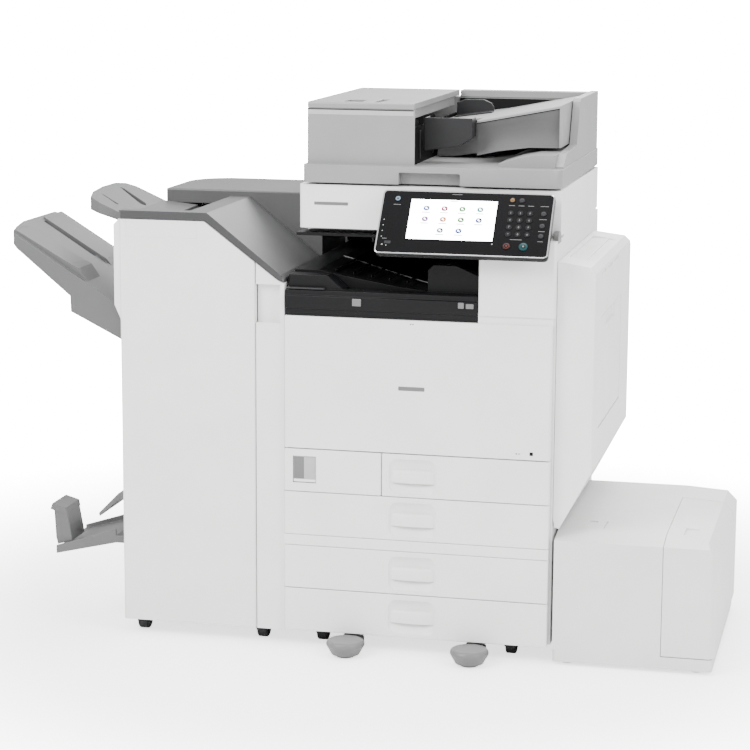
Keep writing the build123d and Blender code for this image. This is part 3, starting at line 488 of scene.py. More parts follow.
def textShell(words, size, depth, spot):
    # the words as flat raised letters round a spot, as (points, faces) in the plane's own numbers
    curve = bpy.data.curves.new("letters", "FONT")
    curve.body, curve.size, curve.extrude = words, size, depth / 2
    curve.align_x = curve.align_y = "CENTER"
    holder = bpy.data.objects.new("letters", curve)
    mesh = bpy.data.meshes.new_from_object(holder)
    points = np.zeros(len(mesh.vertices) * 3)
    mesh.vertices.foreach_get("co", points)
    faces = [list(p.vertices) for p in mesh.polygons]
    points = points.reshape(-1, 3) + np.array(spot) + [0, 0, depth / 2]
    bpy.data.meshes.remove(mesh)
    bpy.data.objects.remove(holder)
    bpy.data.curves.remove(curve)
    return points, faces


# the operation panel leans back; its own plane has X across, t up along the face, and lift out of it;
# lean in degrees, height in mm
panelPlane = {"lean": 38.885, "height": 159.3}
panelLow, panelHigh = machineBox("panel_housing")
lean = math.radians(panelPlane["lean"])
panelUp = (0, math.sin(lean), math.cos(lean))
panelOut = (0, -math.cos(lean), math.sin(lean))
panelFoot = (0, panelLow[1], panelHigh[2] - panelPlane["height"] * math.cos(lean))
onPanel = inPlane(panelFoot, (1, 0, 0), panelUp, panelOut)


def panelShell(shell):
    return onPanel(shell[0]), shell[1]


def disc(spot, radius, base, height, dome=0.0, n=32):
    # a round button: a short cylinder whose top is raised to a dome
    ring = np.array([(radius, base), (radius, base + height * 0.6), (radius * 0.9, base + height * 0.92),
                     (radius * 0.6, base + height + dome * 0.6), (radius * 0.05, base + height + dome)])
    return turned(ring, (*spot, 0), 2, n)


def plate(spot, w, h, r, base, height):
    outline = roundedOutline(w, h, r, 4) + np.array(spot)
    return prism(outline, 2, (base, base + height))


def flatRing(spot, w, h, r, n):
    outline = roundedOutline(w, h, r, n) + np.array(spot)
    return np.c_[outline, np.zeros(len(outline))]


screen = {
    "x": (275.0, 463.0), "t": (36.5, 138.0), "margin": 2.0,
    "rows": [  # height along the panel, X of each icon, colour of each icon
        (112.5, (311, 350, 388.5, 427), ("iconBlue", "iconMagenta", "iconGreen", "iconTeal")),
        (85.5, (311, 350, 388.5, 427), ("iconPurple", "iconOrange", "iconLeaf", "iconIndigo")),
        (58.0, (347, 387), ("iconSky", "iconSky")),
    ],
    "icon": (13.4, 11.9, 5.4), "iconRise": 2.5,          # width, height and corner radius of a badge
    "pages": [(-1.0, 3.4, 2.6, 3.4, 0.70), (1.6, 1.4, 1.8, 2.2, 0.80)],  # across, up, width, height, base
    "label": (17.0, 2.0, 0.8), "labelDrop": 7.8, "heading": (16.0, 1.6, 0.6), "headingDrop": 4.5,
    "frameWidths": (3.0, -2.5), "frameHigh": 0.7, "inkBase": 0.5,
}


def makeScreen():
    x, t, base = screen["x"], screen["t"], screen["inkBase"]
    mid, (w, h) = (sum(x) / 2, sum(t) / 2), (x[1] - x[0], t[1] - t[0])
    glass = plate(mid, w - screen["margin"], h - screen["margin"], 1.0, 0.25, 0.25)
    addPiece("screenGlow", panelShell(glass), "screenWhite", "panel")
    outer, inner = (flatRing(mid, w + wider, h + wider, radius, 4)
                    for wider, radius in zip(screen["frameWidths"], (1.5, 1.0)))
    high = np.array([0, 0, screen["frameHigh"]])
    rings = np.stack([outer, outer + high, inner + high, inner + high * 0.3], 1)
    addPiece("screenFrame", panelShell(hoop(rings)), "panelGloss", "panel")
    bars = []
    for rowHeight, places, colours in screen["rows"]:
        for k, (cx, colour) in enumerate(zip(places, colours)):
            name = f"icon_{int(rowHeight)}_{k}"
            badge = plate((cx, rowHeight + screen["iconRise"]), *screen["icon"], base, 0.22)
            addPiece(name, panelShell(badge), colour, "panel")
            pages = [plate((cx + across, rowHeight + up), pw, ph, 0.3, low, 0.12)
                     for across, up, pw, ph, low in screen["pages"]]
            addPiece(name + "_page", panelShell(joined(pages)), "screenWhite", "panel")
            bars.append(plate((cx, rowHeight - screen["labelDrop"]), *screen["label"], base, 0.1))
    bars.append(plate((mid[0], t[1] - screen["headingDrop"]), *screen["heading"], base, 0.1))
    addPiece("screenLabels", panelShell(joined(bars)), "screenInk", "panel")


legends = {
    "digits": "123456789*0#", "digitRows": (109.0, 91.5, 74.0, 56.5), "digitColumns": (493.0, 513.5, 534.0),
    "size": 6.2, "home": (246.0, 137.0), "stop": (493.0, 27.0), "start": (529.0, 27.0),
    "gold": (493.0, 141.0), "right": [(513.5, 141.0), (563.0, 109.0), (563.0, 79.0), (563.0, 54.0)],
    "keyTop": 1.45,     # the keys' tops stand this far out of the panel's face
    "radius": {"home": 5.4, "gold": 4.8, "right": 5.2, "start": 8.4, "heart": 4.6, "stop": 7.0},
    "stopRing": (6.2, 5.6), "signHalf": (2.2, 2.6),
}


def makeLegends():
    up, radius = legends["keyTop"], legends["radius"]
    spots = [(x, t) for t in legends["digitRows"] for x in legends["digitColumns"]]
    signs = [textShell(sign, legends["size"], 0.12, (x, t, up))
             for sign, (x, t) in zip(legends["digits"], spots)]
    addPiece("digitLegends", panelShell(joined(signs)), "legendWhite", "panel_keys", smooth=False)
    for key, finish in (("home", "homeBlue"), ("gold", "goldAmber")):
        face = disc(legends[key], radius[key], up, 0.25, 0.15)
        addPiece(f"{key}KeyFace", panelShell(face), finish, "panel_keys")
    sides = [disc(spot, radius["right"], up, 0.2, 0.12) for spot in legends["right"]]
    addPiece("sideKeyFaces", panelShell(joined(sides)), "keyMid", "panel_keys")
    marks = [plate((x, t), 3.4, 1.0, 0.4, up + 0.45, 0.12) for x, t in [legends["gold"]] + legends["right"]]
    marks.append(plate(legends["home"], 4.2, 3.0, 0.5, up + 0.4, 0.12))
    addPiece("keyMarks", panelShell(joined(marks)), "keyDark", "panel_keys")
    start, stop, (sw, sh) = legends["start"], legends["stop"], legends["signHalf"]
    diamond = np.array([(-sw, 0), (0, -sh), (sw, 0), (0, sh)]) + np.array(start)
    for name, shell, finish, smooth in (
            ("startKeyFace", disc(start, radius["start"], up, 0.3, 0.4, 40), "startTeal", True),
            ("startKeyHeart", disc(start, radius["heart"], up + 0.6, 0.25, 0.1), "keyDark", True),
            ("startSign", prism(diamond, 2, (up + 0.9, up + 1.15)), "legendWhite", False)):
        addPiece(name, panelShell(shell), finish, "start_key", smooth=smooth)
    for name, shell, finish in (
            ("stopKeyFace", disc(stop, radius["stop"], up, 0.3, 0.3, 40), "stopDark"),
            ("stopRing", ringShell(stop, *legends["stopRing"], up + 0.25, 0.4), "stopRed"),
            ("stopSign", plate(stop, 2.6, 2.6, 0.4, up + 0.55, 0.2), "stopRed")):
        addPiece(name, panelShell(shell), finish, "stop_key")


def ringShell(spot, outside, inside, base, height, n=40):
    # a flat ring: its square section is turned through a full circle round the spot
    top = base + height
    radius, level = np.array([(outside, base), (outside, top), (inside, top), (inside, base)]).T
    angle = np.linspace(0, 2 * np.pi, n, endpoint=False)[:, None]
    rings = np.stack([spot[0] + radius * np.cos(angle), spot[1] + radius * np.sin(angle),
                      level + np.zeros_like(angle)], -1)
    return hoop(rings)


panelTrim = {
    "width": (212.0, 583.0), "corner": 10.0, "rim": 2.6, "gap": 0.6,
    "printLines": [  # X, t, length of the small printed label lines on the face
        (493, 128, 13), (513.5, 128, 13), (534, 128, 13), (563, 128, 18), (563, 95.5, 16), (563, 66, 14),
        (246, 122.5, 16), (373, 151.5, 22), (563, 41, 12), (511, 44, 26), (230, 37, 10),
    ],
    "lamps": [(223, 84, 1.3), (223, 70, 1.3), (223, 56, 1.3), (223, 42, 1.3), (227, 22, 1.8), (236, 20, 1.3),
              (462, 31, 1.6)],
    "card": ((238, 28), 14, 7, 1.5),
}


def makePanelTrim():
    x0, x1 = panelTrim["width"]
    mid = ((x0 + x1) / 2, panelPlane["height"] / 2)
    w, h = x1 - x0 - panelTrim["gap"], panelPlane["height"] - panelTrim["gap"]
    rim, corner = panelTrim["rim"], panelTrim["corner"]
    outer, inner = flatRing(mid, w, h, corner, 8), flatRing(mid, w - 2 * rim, h - 2 * rim, corner - rim, 8)
    rings = np.stack([outer - [0, 0, 3.0], outer + [0, 0, 0.5], (outer + inner) / 2 + [0, 0, 1.1],
                      inner + [0, 0, 0.5], inner - [0, 0, 0.4]], 1)
    addPiece("panelRim", panelShell(hoop(rings)), "rimSilver", "panel")
    lines = [plate((x, t), w, 1.3, 0.5, 0.05, 0.1) for x, t, w in panelTrim["printLines"]]
    addPiece("panelPrint", panelShell(joined(lines)), "printGrey", "panel")
    lamps = [disc((x, t), r, 0.0, 0.3, 0.2, 20) for x, t, r in panelTrim["lamps"]]
    addPiece("panelLamps", panelShell(joined(lamps)), "lampPale", "panel")
    addPiece("cardMark", panelShell(plate(*panelTrim["card"], 0.02, 0.12)), "keyMid", "panel")


makeScreen()
makeLegends()
makePanelTrim()
print("operation panel dressed")


# soft pull pockets of the four drawers, with a bowed bar across each
trayPulls = {
    "centre": 288.0, "size": (116.0, 86.0), "depth": 13.0, "drop": 1.5,
    "bar": (98.0, 27.0, 9.0), "barBack": 13.5, "bow": 7.5,  # width, height, thickness; place behind the front
    "seams": [(355.7, 450.5), (258.3, 354.1), (136.8, 232.9), (38.7, 135.2)],
}


def scoopShell(mid, n=46):
    # depth behind the front = depth * (1 - |u|^4)^1.1 * (1 - |v|^3.2)^1.3, deeper just under the bar
    w, h = trayPulls["size"]
    u, v = np.meshgrid(np.linspace(-1, 1, n), np.linspace(-1, 1, n), indexing="ij")
    bowl = np.clip(1 - np.abs(u) ** 4, 0, 1) ** 1.1 * np.clip(1 - np.abs(v) ** 3.2, 0, 1) ** 1.3
    under = np.exp(-((v + 0.36) / 0.10) ** 2) * np.clip(1 - np.abs(u / 0.92) ** 8, 0, 1)
    y = trayPulls["depth"] * bowl + 5.0 * under * bowl
    squareness = 0.16 * np.abs(u) ** 3 * np.abs(v) ** 3
    x = trayPulls["centre"] + u * (1 - squareness) * w / 2
    z = mid + v * (1 - squareness) * h / 2
    front = np.stack([x, y - 0.25, z], -1)
    back = front + [0, 1.2, 0]
    points = np.concatenate([front.reshape(-1, 3), back.reshape(-1, 3)])
    grid = gridFaces(n, n, False)
    count = n * n
    behind = [[k + count for k in face[::-1]] for face in grid]
    edge = list(range(n)) + [r * n + n - 1 for r in range(1, n)]
    edge += [(n - 1) * n + c for c in range(n - 2, -1, -1)] + [r * n for r in range(n - 2, 0, -1)]
    rim = [[a, b, b + count, a + count] for a, b in zip(edge, edge[1:] + edge[:1])]
    return points, grid + behind + rim


def barShell(mid, n=28):
    # a bar bowed outwards: its section is a rounded block, its reach out of the front follows a cosine
    w, h, t = trayPulls["bar"]
    section = roundedOutline(t, h, 3.6, 5)
    s = np.linspace(-1, 1, n)
    bow = trayPulls["bow"] * (1 - np.cos(np.pi * (1 - np.abs(s)) ** 0.8)) / 2
    slim = 1 - 0.10 * np.abs(s) ** 4
    rings = np.zeros((n, len(section), 3))
    rings[:, :, 0] = trayPulls["centre"] + s[:, None] * w / 2
    rings[:, :, 1] = (trayPulls["barBack"] - bow)[:, None] + section[None, :, 0]
    rings[:, :, 2] = mid - trayPulls["drop"] + slim[:, None] * section[None, :, 1]
    return tube(rings)


def makePulls():
    for index, (low, high) in enumerate(trayPulls["seams"]):
        mid = (low + high) / 2 - trayPulls["drop"]
        for name, shell in (("pullScoop", scoopShell(mid)), ("pullBar", barShell(mid))):
            addPiece(f"{name}{index + 1}", shell, "cabinetWhite", f"tray_{index + 1}")


# marks on the door's and the scanner's fronts: X, Z, width, height and corner radius of each
doorMarks = {
    "badge": ((283.5, 596.0), 58.0, 9.0, 2.0), "square": ((547.0, 467.0), 7.5, 7.5, 0.8),
    "dots": [((281.0, 737.0), 2.6, 2.6, 1.2), ((286.0, 737.0), 2.6, 2.6, 1.2)],
    "guide": [((514.5, 466.0), 3.2, 3.2, 1.5), ((520.5, 466.0), 5.0, 1.6, 0.7)],
    "scanner": ((88.0, 984.0), 76.0, 7.0, 1.6), "scannerFront": 67.0,
}


def frontShell(spot, w, h, r, y, height):
    # a small plate lying on a front that faces -Y
    outline = roundedOutline(w, h, r, 4) + np.array(spot)
    return prism(outline, 1, (y - height, y + 0.4))


def makeDoorMarks():
    badge = frontShell(*doorMarks["badge"], 0, 0.5)
    addPiece("doorBadge", badge, "footGrey", "front_door", bevel=0.2)
    dots, guide = (joined([frontShell(*mark, 0, 0.4) for mark in doorMarks[key]])
                   for key in ("dots", "guide"))
    addPiece("doorDots", dots, "keyMid", "front_door")
    addPiece("doorSquare", frontShell(*doorMarks["square"], 0, 0.4), "keyDark", "front_door")
    addPiece("doorGuideMarks", guide, "stopRed", "front_door")
    scannerMark = frontShell(*doorMarks["scanner"], doorMarks["scannerFront"], 0.5)
    addPiece("scannerBadge", scannerMark, "footGrey", "machine", bevel=0.2)


# the power switch's window: its X and Z, and the X where its dark half ends
switchWindow = {"x": (19.0, 72.0), "z": (375.0, 435.0), "split": 44.0}


def makeSwitch():
    x, z, split = switchWindow["x"], switchWindow["z"], switchWindow["split"]
    dark = slabOf((x[0] + 2.5, split), (2.0, 2.6), (z[0] + 9, z[1] - 2.5))
    addPiece("switchShade", dark, "footGrey", "switch_cover", bevel=0.3)
    lip = slabOf((x[0] + 1.5, x[1] - 1.5), (1.2, 2.8), (z[0] + 2.0, z[0] + 8.0))
    addPiece("switchLip", lip, "cabinetWhite", "switch_cover", bevel=1.0)
    bezel = [slabOf(sideX, (-0.3, 1.2), (z[0] - 1.6, z[1] + 1.6))
             for sideX in ((x[0] - 1.6, x[0] + 0.4), (x[1] - 0.4, x[1] + 1.6))]
    addPiece("switchBezel", joined(bezel), "cabinetWhite", "machine", bevel=0.5)


exitDetails = {
    "latches": [((151, 171), (771, 787)), ((383, 396), (775, 788)), ((400, 417), (775, 786))],
    "post": (118.0, 330.0, 5.0), "postZ": (868.0, 910.8),  # X, Y and thickness
    "ribs": {"x": (92, 132, 172, 212, 252), "y": (90, 560), "width": 2.5, "z": (836.5, 842.0), "fall": 0.13},
    "ledge": ((6.5, 88), (6.0, 19.0), (803.2, 806.5)),
}


def makeExitDetails():
    for k, (x, z) in enumerate(exitDetails["latches"]):
        grip = slabOf(x, (0.5, 4.0), z)
        addPiece(f"exitLatch{k}", grip, "footGrey", "machine", bevel=2.0)
    # a thin rim along the paper bed, falling from left rear to right front; its light grey is a painted
    # highlight along the bed's curved edge
    s = np.linspace(0, 1, 40)
    path = np.stack([60 + 250 * s, 300 - 190 * s ** 1.4, 838 - 30 * s - 6 * np.sin(np.pi * s)], -1)
    section = np.array([(0, -1.2, 0), (0, 1.2, 0), (0, 0.8, 1.6), (0, -0.8, 1.6)])
    addPiece("bedRimHighlight", tube(path[:, None, :] + section[None]), "footGrey", "machine")
    x, y, t = exitDetails["post"]
    post = slabOf((x, x + t), (y, y + t), exitDetails["postZ"])
    addPiece("exitGuidePost", post, "footGrey", "machine", bevel=1.2)
    # the ribs stand on the bed and fall with it to the right of X 60
    rib = exitDetails["ribs"]
    ribs = [slabOf((ribX, ribX + rib["width"]), rib["y"], [z - (ribX - 60) * rib["fall"] for z in rib["z"]])
            for ribX in rib["x"]]
    addPiece("bedRibs", joined(ribs), "cavityBlack", "machine", bevel=0.8)
    addPiece("exitLedge", slabOf(*exitDetails["ledge"]), "guideDark", "machine", bevel=1.2)


armCap = {"mid": (48.0, 918.0), "half": (22.0, 25.0), "x": (581.5, 592.6), "foot": 1.0}


def makeArmCap():
    # half oval cap over the panel's arm: a superellipse on a low foot, carried across X
    (y, z), (halfY, halfZ), foot = armCap["mid"], armCap["half"], armCap["foot"]
    angle = np.linspace(0, np.pi, 24)
    side = np.stack([y + halfY * np.cos(angle), z + halfZ * np.sin(angle) ** 0.8], -1)
    side = np.concatenate([side, [(y - halfY, z - foot), (y + halfY, z - foot)]])
    addPiece("panelArmCap", prism(side, 0, armCap["x"]), "footGrey", "machine", bevel=2.5)


makePulls()
makeDoorMarks()
makeSwitch()
makeExitDetails()
makeArmCap()
print("front dressed")


# the document table: a thin light top with a painted shadow line under its lip and a concave skirt down to
# the base, whose darker grey is painted shade
documentTable = {
    "top": [(274, 1146.2), (390, 1162.2), (570, 1197.2)],
    "low": [(274, 1072), (320, 1073), (370, 1081), (430, 1095), (500, 1104.5), (570, 1105)],
    "back": 586.0, "steps": 22,
    "parts": [(274.5, 383.5, 300.0), (384.5, 569.5, 190.0)],  # X from, X to, Y of the front edge
    "lip": 8.0, "hollow": 9.0, "thickness": 4.0,
    "endWall": ((566, 570), (189.5, 586), (1106, 1194)),
    "shadow": ((0, 1.2), (-7.6, -5.6)), "shadowBack": 1.4,      # the dark line: depth, height under the top
}


def tableShell(x0, x1, front):
    x = np.linspace(x0, x1, documentTable["steps"])
    top = np.interp(x, *np.array(documentTable["top"], float).T)
    low = np.interp(x, *np.array(documentTable["low"], float).T)
    # the skirt's depth follows a half sine from the lip down, so it hollows inwards
    flat, lip, back = np.zeros_like(x), documentTable["lip"], documentTable["back"]
    down = np.linspace(0, 1, 7)[:, None]
    skirtZ = top - lip + (low - top + lip) * down
    skirtY = flat + front + 3 + documentTable["hollow"] * np.sin(np.pi * down)
    edgeZ = [top - 5, top, top, top - 1.6, top - 5.4, top - 6.2]
    edgeY = [flat + place for place in (back, back, front + 2, front, front, front + 2.6)]
    z = np.concatenate([edgeZ, skirtZ, skirtZ[::-1]])
    y = np.concatenate([edgeY, skirtY, skirtY[::-1] + documentTable["thickness"]])
    rings = np.stack([np.broadcast_to(x, z.shape), y, z], -1).transpose(1, 0, 2)
    return tube(rings)


def makeTable():
    shells = [tableShell(*part) for part in documentTable["parts"]]
    wallX, wallY, wallZ = documentTable["endWall"]
    shells.append(prism([(y, z) for y, z in zip((wallY[0], wallY[0], wallY[1], wallY[1]),
                                                (wallZ[0], wallZ[1], wallZ[1], wallZ[0]))], 0, wallX))
    shade = np.zeros(20, int)                             # one number for each point of the section
    shade[5:13] = 1                                       # the skirt's take the darker grey of painted shade
    strips = np.tile(shade, documentTable["steps"] - 1).tolist() + [0, 0]
    addPiece("documentTable", joined(shells), ["feederGrey", "skirtShadeGrey"], "document_tray",
             node="document_tray", rows=strips * 2 + [0] * 6)
    (y0, y1), (z0, z1) = documentTable["shadow"]
    lines = []
    for x0, x1, front in documentTable["parts"]:
        points, faces = prism([(y0, z0), (y1, z0), (y1, z1), (y0, z1)], 0, (x0, x1))
        points[:, 1] += front + documentTable["shadowBack"]
        points[:, 2] += np.interp(points[:, 0], *np.array(documentTable["top"], float).T)
        lines.append((points, faces))
    addPiece("tableShadowLine", joined(lines), "linerBlack", "document_tray")


feederLooks = {
    "liner": ((270, 571), (588.6, 589.8), (1069, 1183)),
    "throat": ((262.5, 264.8), (82, 587), (1069.5, 1150)),
    "ribs": {"x": (264.5, 267.5), "y": (150, 290, 430), "width": 6, "z": (1078, 1140)},
    "lidLine": (1186.5, 1188.3), "paleStrip": (1176.0, 1186.0), "unitBack": 76.0, "coverInset": 1.5,
    "recess": ((106.5, 146.5), (100.5, 165.5), (1198.2, 1199.0)),
    "smallRecess": ((173.5, 191.5), (90.5, 194.5), (1198.2, 1199.0)),
}


def makeFeederDetails():
    ribs, inset, back = feederLooks["ribs"], feederLooks["coverInset"], feederLooks["unitBack"]
    low, high = machineBox("feeder_cover")
    x = (low[0] + inset, high[0] - inset)
    ribShells = [slabOf(ribs["x"], (y, y + ribs["width"]), ribs["z"]) for y in ribs["y"]]
    shadow = slabOf(x, (74.4, back), feederLooks["lidLine"])
    strip = slabOf(x, (74.5, back), feederLooks["paleStrip"])
    for name, shell, finish, body, bevel in (
            ("feederLiner", slabOf(*feederLooks["liner"]), "linerBlack", "feeder", 0),
            ("feedThroat", slabOf(*feederLooks["throat"]), "linerBlack", "feeder", 0),
            ("throatRibs", joined(ribShells), "guideDark", "feeder", 0.8),
            ("lidShadow", shadow, "linerBlack", "feeder", 0),
            ("lidPaleStrip", strip, "feederLight", "feeder", 0.4),
            # flat dark plates lying on the cover: painted shade standing for two finger recesses
            ("coverRecess", slabOf(*feederLooks["recess"]), "guideDark", "feeder_cover", 0),
            ("coverRecessSmall", slabOf(*feederLooks["smallRecess"]), "footGrey", "feeder_cover", 0)):
        addPiece(name, shell, finish, body, bevel=bevel)


makeTable()
makeFeederDetails()
print("feeder dressed")


# finisher details: dark front band of the cover, which is painted shade on its front face, raised border of
# the door, small parts of the trays
finisherLooks = {
    "band": [(-373.4, 961.4), (-176.4, 961.4), (-11, 831.6), (-6, 829), (-6, 818), (-16, 820.4),
             (-182, 944.6),
             (-373.4, 944.6)],
    "border": {"x": (-362.0, -200.0), "z": (905.0, 938.0), "line": 1.6},
    "screws": [(90, 120), (560, 120), (90, 640), (560, 640), (560, 880)],
    "bandY": (7.4, 8.3), "bulge": 14.0,                   # the cabinet's left wall is this far inside its box
    "corner": 100.0, "wall": (94.0, 99.8), "wallZ": (961.5, 970.5),
    "lever": [(-392, 838), (-384, 846), (-380.5, 846), (-380.5, 826), (-386, 826)], "leverY": (150, 156),
}


def makeFinisher():
    # a dark skin on the top cover's front face: painted shade where that face turns away from the light
    band = prism(finisherLooks["band"], 1, finisherLooks["bandY"])
    addPiece("coverShadeBand", band, "bandDark", "machine", bevel=0.3)
    border = finisherLooks["border"]
    (x0, x1), (z0, z1), w = border["x"], border["z"], border["line"]
    doorFront = machineBox("finisher_door")[0][1]
    y = (doorFront - 0.5, doorFront + 0.4)
    lines = [slabOf((x0, x1), y, (z0, z0 + w)), slabOf((x0, x1), y, (z1 - w, z1)),
             slabOf((x0, x0 + w), y, (z0, z1)), slabOf((x1 - w, x1), y, (z0, z1))]
    addPiece("doorBorder", joined(lines), "cabinetWhite", "finisher_door", bevel=0.2)
    left = machineBox("finisher_cabinet")[0][0] + finisherLooks["bulge"]
    head = [(0.4, left - 1.0), (3.4, left - 0.9), (3.9, left - 0.2), (3.9, left + 0.4)]
    screws = [turned(head, (0, y, z), 0, 24) for y, z in finisherLooks["screws"]]
    addPiece("cabinetScrews", joined(screws), "screwSteel", "machine")
    # the cover's rounded rear corner has a thin wall: a quarter ring that closes it under the raised top
    angle = np.linspace(np.pi / 2, np.pi, 20)[:, None]
    (inside, outside), (low, high) = finisherLooks["wall"], finisherLooks["wallZ"]
    radius, level = np.array([(outside, low), (outside, high), (inside, high), (inside, low)]).T
    coverLow, coverHigh = machineBox("finisher_top")
    cx, cy = coverLow[0] + finisherLooks["corner"], coverHigh[1] - finisherLooks["corner"]
    wall = np.stack([cx + radius * np.cos(angle), cy + radius * np.sin(angle),
                     level + np.zeros_like(angle)], -1)
    addPiece("coverCornerWall", tube(wall), "finisherGrey", "machine")
    lever = prism(finisherLooks["lever"], 1, finisherLooks["leverY"])
    addPiece("trayLever", lever, "keyDark", "machine", bevel=0.8)


makeFinisher()
print("finisher dressed")


# the right side: painted shade in the grip hole of the bypass tray, and the bumps over the door's hinges
sideLooks = {
    "grip": (290.0, 749.0, 84.0),                         # Y, Z and radius of its arc
    "gripX": (662.2, 664.0), "gripZ": (718.0, 745.0),
    "bumpX": (592.5, 606.0), "bumpY": [(30, 60), (500, 530)], "bumpZ": (300, 352),
}


def makeSide():
    # the bypass tray's grip hole: a dark half disc of painted shade, points on a circle cut off by a straight
    # top
    y0, z0, radius = sideLooks["grip"]
    low, high = sideLooks["gripZ"]
    half = np.arccos(np.clip((z0 - high) / radius, -1, 1))
    angle = np.linspace(-half, half, 30)
    outline = np.stack([y0 + radius * np.sin(angle), z0 - radius * np.cos(angle)], -1)
    outline[:, 1] = np.maximum(outline[:, 1], low)
    shade = prism(outline, 0, sideLooks["gripX"])
    addPiece("bypassGripShade", shade, "keyDark", "bypass_tray", smooth=False)
    bumps = [slabOf(sideLooks["bumpX"], y, sideLooks["bumpZ"]) for y in sideLooks["bumpY"]]
    addPiece("doorHingeBumps", joined(bumps), "cabinetWhite", "machine", bevel=3.0)


makeSide()
print("right side dressed")


# the back: louvres, screws, a power inlet, a blank rating label and a connector panel
rearLooks = {
    "louvres": {"x": (70.0, 230.0), "z": (640.0, 820.0), "count": 13},
    "screws": [(24, 90), (560, 90), (24, 480), (560, 480), (24, 880), (560, 880)],
    "inlet": (505.0, 130.0, 48.0, 28.0), "label": (330.0, 560.0, 90.0, 56.0),   # X, Z, width, height
    "ports": (470.0, 700.0, 110.0, 46.0), "portsAt": [(-36, 8), (-12, 6), (8, 6), (34, 9)],
    "pinsAt": (-8, 0, 8), "linesAt": (-16, -8, 0, 8, 16),
}


def backPlate(spot, w, h, r, lift):
    # a small plate lying on the rear cover, which faces +Y
    y = machineBox("rear_cover")[1][1]
    return prism(roundedOutline(w, h, r, 4) + np.array(spot), 1, (y - 0.4, y + lift))


def makeRear():
    y = machineBox("rear_cover")[1][1]
    louvres = rearLooks["louvres"]
    (x0, x1), levels = louvres["x"], np.linspace(*louvres["z"], louvres["count"])
    slat = np.array([(-0.3, -2.5), (1.4, -2.5), (0.5, 3.0), (-0.3, 3.0)])
    slats = [prism(slat + [y, z], 0, (x0, x1)) for z in levels]
    addPiece("rearLouvres", joined(slats), "cabinetWhite", "machine", bevel=0.3)
    # black strips behind the slats: painted shade in the louvre openings
    gaps = [slabOf((x0 + 2, x1 - 2), (y - 0.3, y + 0.2), (z + 4.0, z + 9.0)) for z in levels[:-1]]
    addPiece("rearLouvreShade", joined(gaps), "linerBlack", "machine")
    head = [(3.9, y - 0.4), (3.9, y + 0.5), (3.4, y + 1.0), (0.4, y + 1.1)]
    screws = [turned(head, (x, 0, z), 1, 24) for x, z in rearLooks["screws"]]
    addPiece("rearScrews", joined(screws), "screwSteel", "machine")
    x, z, w, h = rearLooks["inlet"]
    inlet = backPlate((x, z), w, h, 5.0, 1.8)
    addPiece("inletFrame", inlet, "keyDark", "machine", bevel=0.5)
    pins = [slabOf((x + dx - 1, x + dx + 1), (y + 1.7, y + 3.0), (z - 4, z + 4))
            for dx in rearLooks["pinsAt"]]
    addPiece("inletPins", joined(pins), "steelPlate", "machine")
    x, z, w, h = rearLooks["label"]
    addPiece("ratingLabel", backPlate((x, z), w, h, 2.0, 0.3), "padWhite", "machine")
    bars = [backPlate((x - 6, z + dz), w * 0.7, 2.0, 0.6, 0.45) for dz in rearLooks["linesAt"]]
    addPiece("ratingLines", joined(bars), "printGrey", "machine")
    x, z, w, h = rearLooks["ports"]
    panel = backPlate((x, z), w, h, 2.0, 0.8)
    addPiece("portPanel", panel, "steelPlate", "machine", bevel=0.2)
    # black slabs on the panel: painted shade in the connector openings
    ports = [slabOf((x + dx - pw, x + dx + pw), (y + 0.7, y + 1.3), (z - 7, z + 7))
             for dx, pw in rearLooks["portsAt"]]
    addPiece("portMouthShade", joined(ports), "linerBlack", "machine")


makeRear()
print("back dressed")


# behind the doors and under the lid: toner colours, levers, the ruler by the glass, the trays' sheet fences
insideLooks = {
    "toner": ("tonerCyan", "tonerMagenta", "tonerYellow", "tonerBlack"), "bottleRadius": 36.0,
    "ring": (26.6, 23.4), "ringY": (24.3, 23.7),
    "levers": [(60.0, 500.0), (470.0, 560.0)],            # X and Z of each
    "ruler": {"x": (62.0, 503.0), "step": 21.0, "y": (4, 18), "tickY": (5, 13, 16)},  # Y behind the glass
    "fence": {"height": 36.0, "y": (150, 470), "rearY": (540, 543)},
}


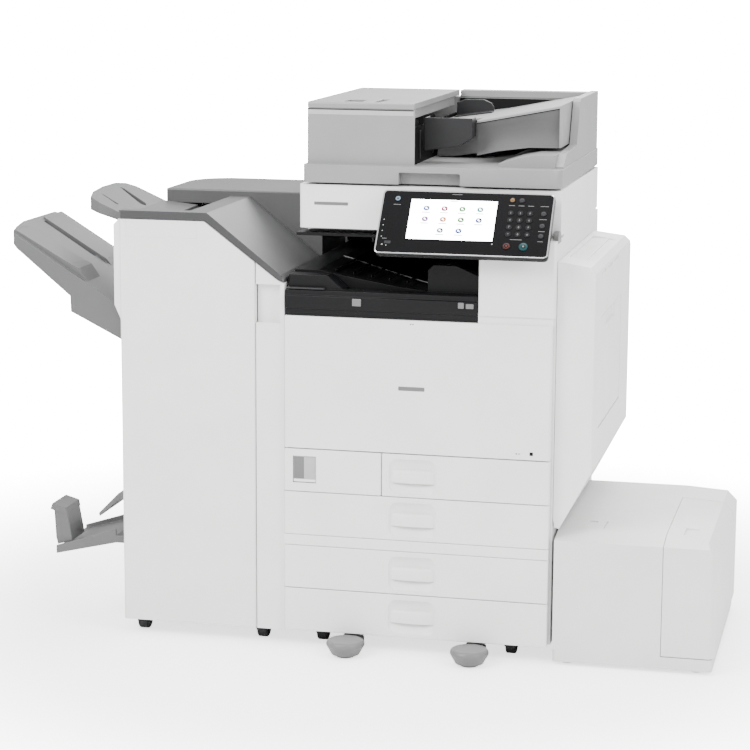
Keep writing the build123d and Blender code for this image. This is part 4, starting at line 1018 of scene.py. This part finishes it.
def makeInside():
    low, high = machineBox("toner_bottles")
    end = insideLooks["bottleRadius"]
    mids = np.linspace(low[0] + end, high[0] - end, len(insideLooks["toner"]))
    level = (low[2] + high[2]) / 2
    (outside, inside), (back, front) = insideLooks["ring"], insideLooks["ringY"]
    radius, depth = np.array([(outside, back), (outside, front), (inside, front), (inside, back)]).T
    angle = np.linspace(0, 2 * np.pi, 48, endpoint=False)[:, None]
    for x, colour in zip(mids, insideLooks["toner"]):
        rings = np.stack([x + radius * np.cos(angle), depth + np.zeros_like(angle),
                          level + radius * np.sin(angle)], -1)
        addPiece(f"{colour}Ring", hoop(rings), colour, "machine")
    for k, (x, z) in enumerate(insideLooks["levers"]):
        handle = [slabOf((x - 4, x + 4), (16, 24.2), (z - 24, z + 24)),
                  slabOf((x - 9, x + 9), (20, 24.2), (z - 9, z + 9))]
        addPiece(f"greenLever{k}", joined(handle), "leverGreen", "machine", bevel=1.5)
    top = machineBox("scanner_housing")[1][2]
    glassLow, glassHigh = machineBox("platen_glass")
    ruler, y = insideLooks["ruler"], glassHigh[1]
    strip = slabOf((glassLow[0], glassHigh[0]), [y + step for step in ruler["y"]], (top - 0.4, top + 0.35))
    addPiece("rulerStrip", strip, "padWhite", "machine", bevel=0.2)
    start, short, long = ruler["tickY"]                   # every fifth tick is longer
    ticks = [slabOf((x, x + 0.8), (y + start, y + (short if k % 5 else long)), (top + 0.3, top + 0.5))
             for k, x in enumerate(np.arange(*ruler["x"], ruler["step"]))]
    addPiece("rulerTicks", joined(ticks), "keyDark", "machine")
    fence = insideLooks["fence"]
    for index in range(1, 5):
        low, high = machineBox(f"tray_{index}_box")
        z = (low[2] + 2, low[2] + 2 + fence["height"])
        guides = [slabOf((high[0] - 80, high[0] - 76), fence["y"], z),
                  slabOf((low[0] + 60, low[0] + 64), fence["y"], z),
                  slabOf((low[0] + 130, high[0] - 140), fence["rearY"], z)]
        addPiece(f"sheetFences{index}", joined(guides), "innerGrey", f"tray_{index}", bevel=0.8)


makeInside()
print("inside dressed")
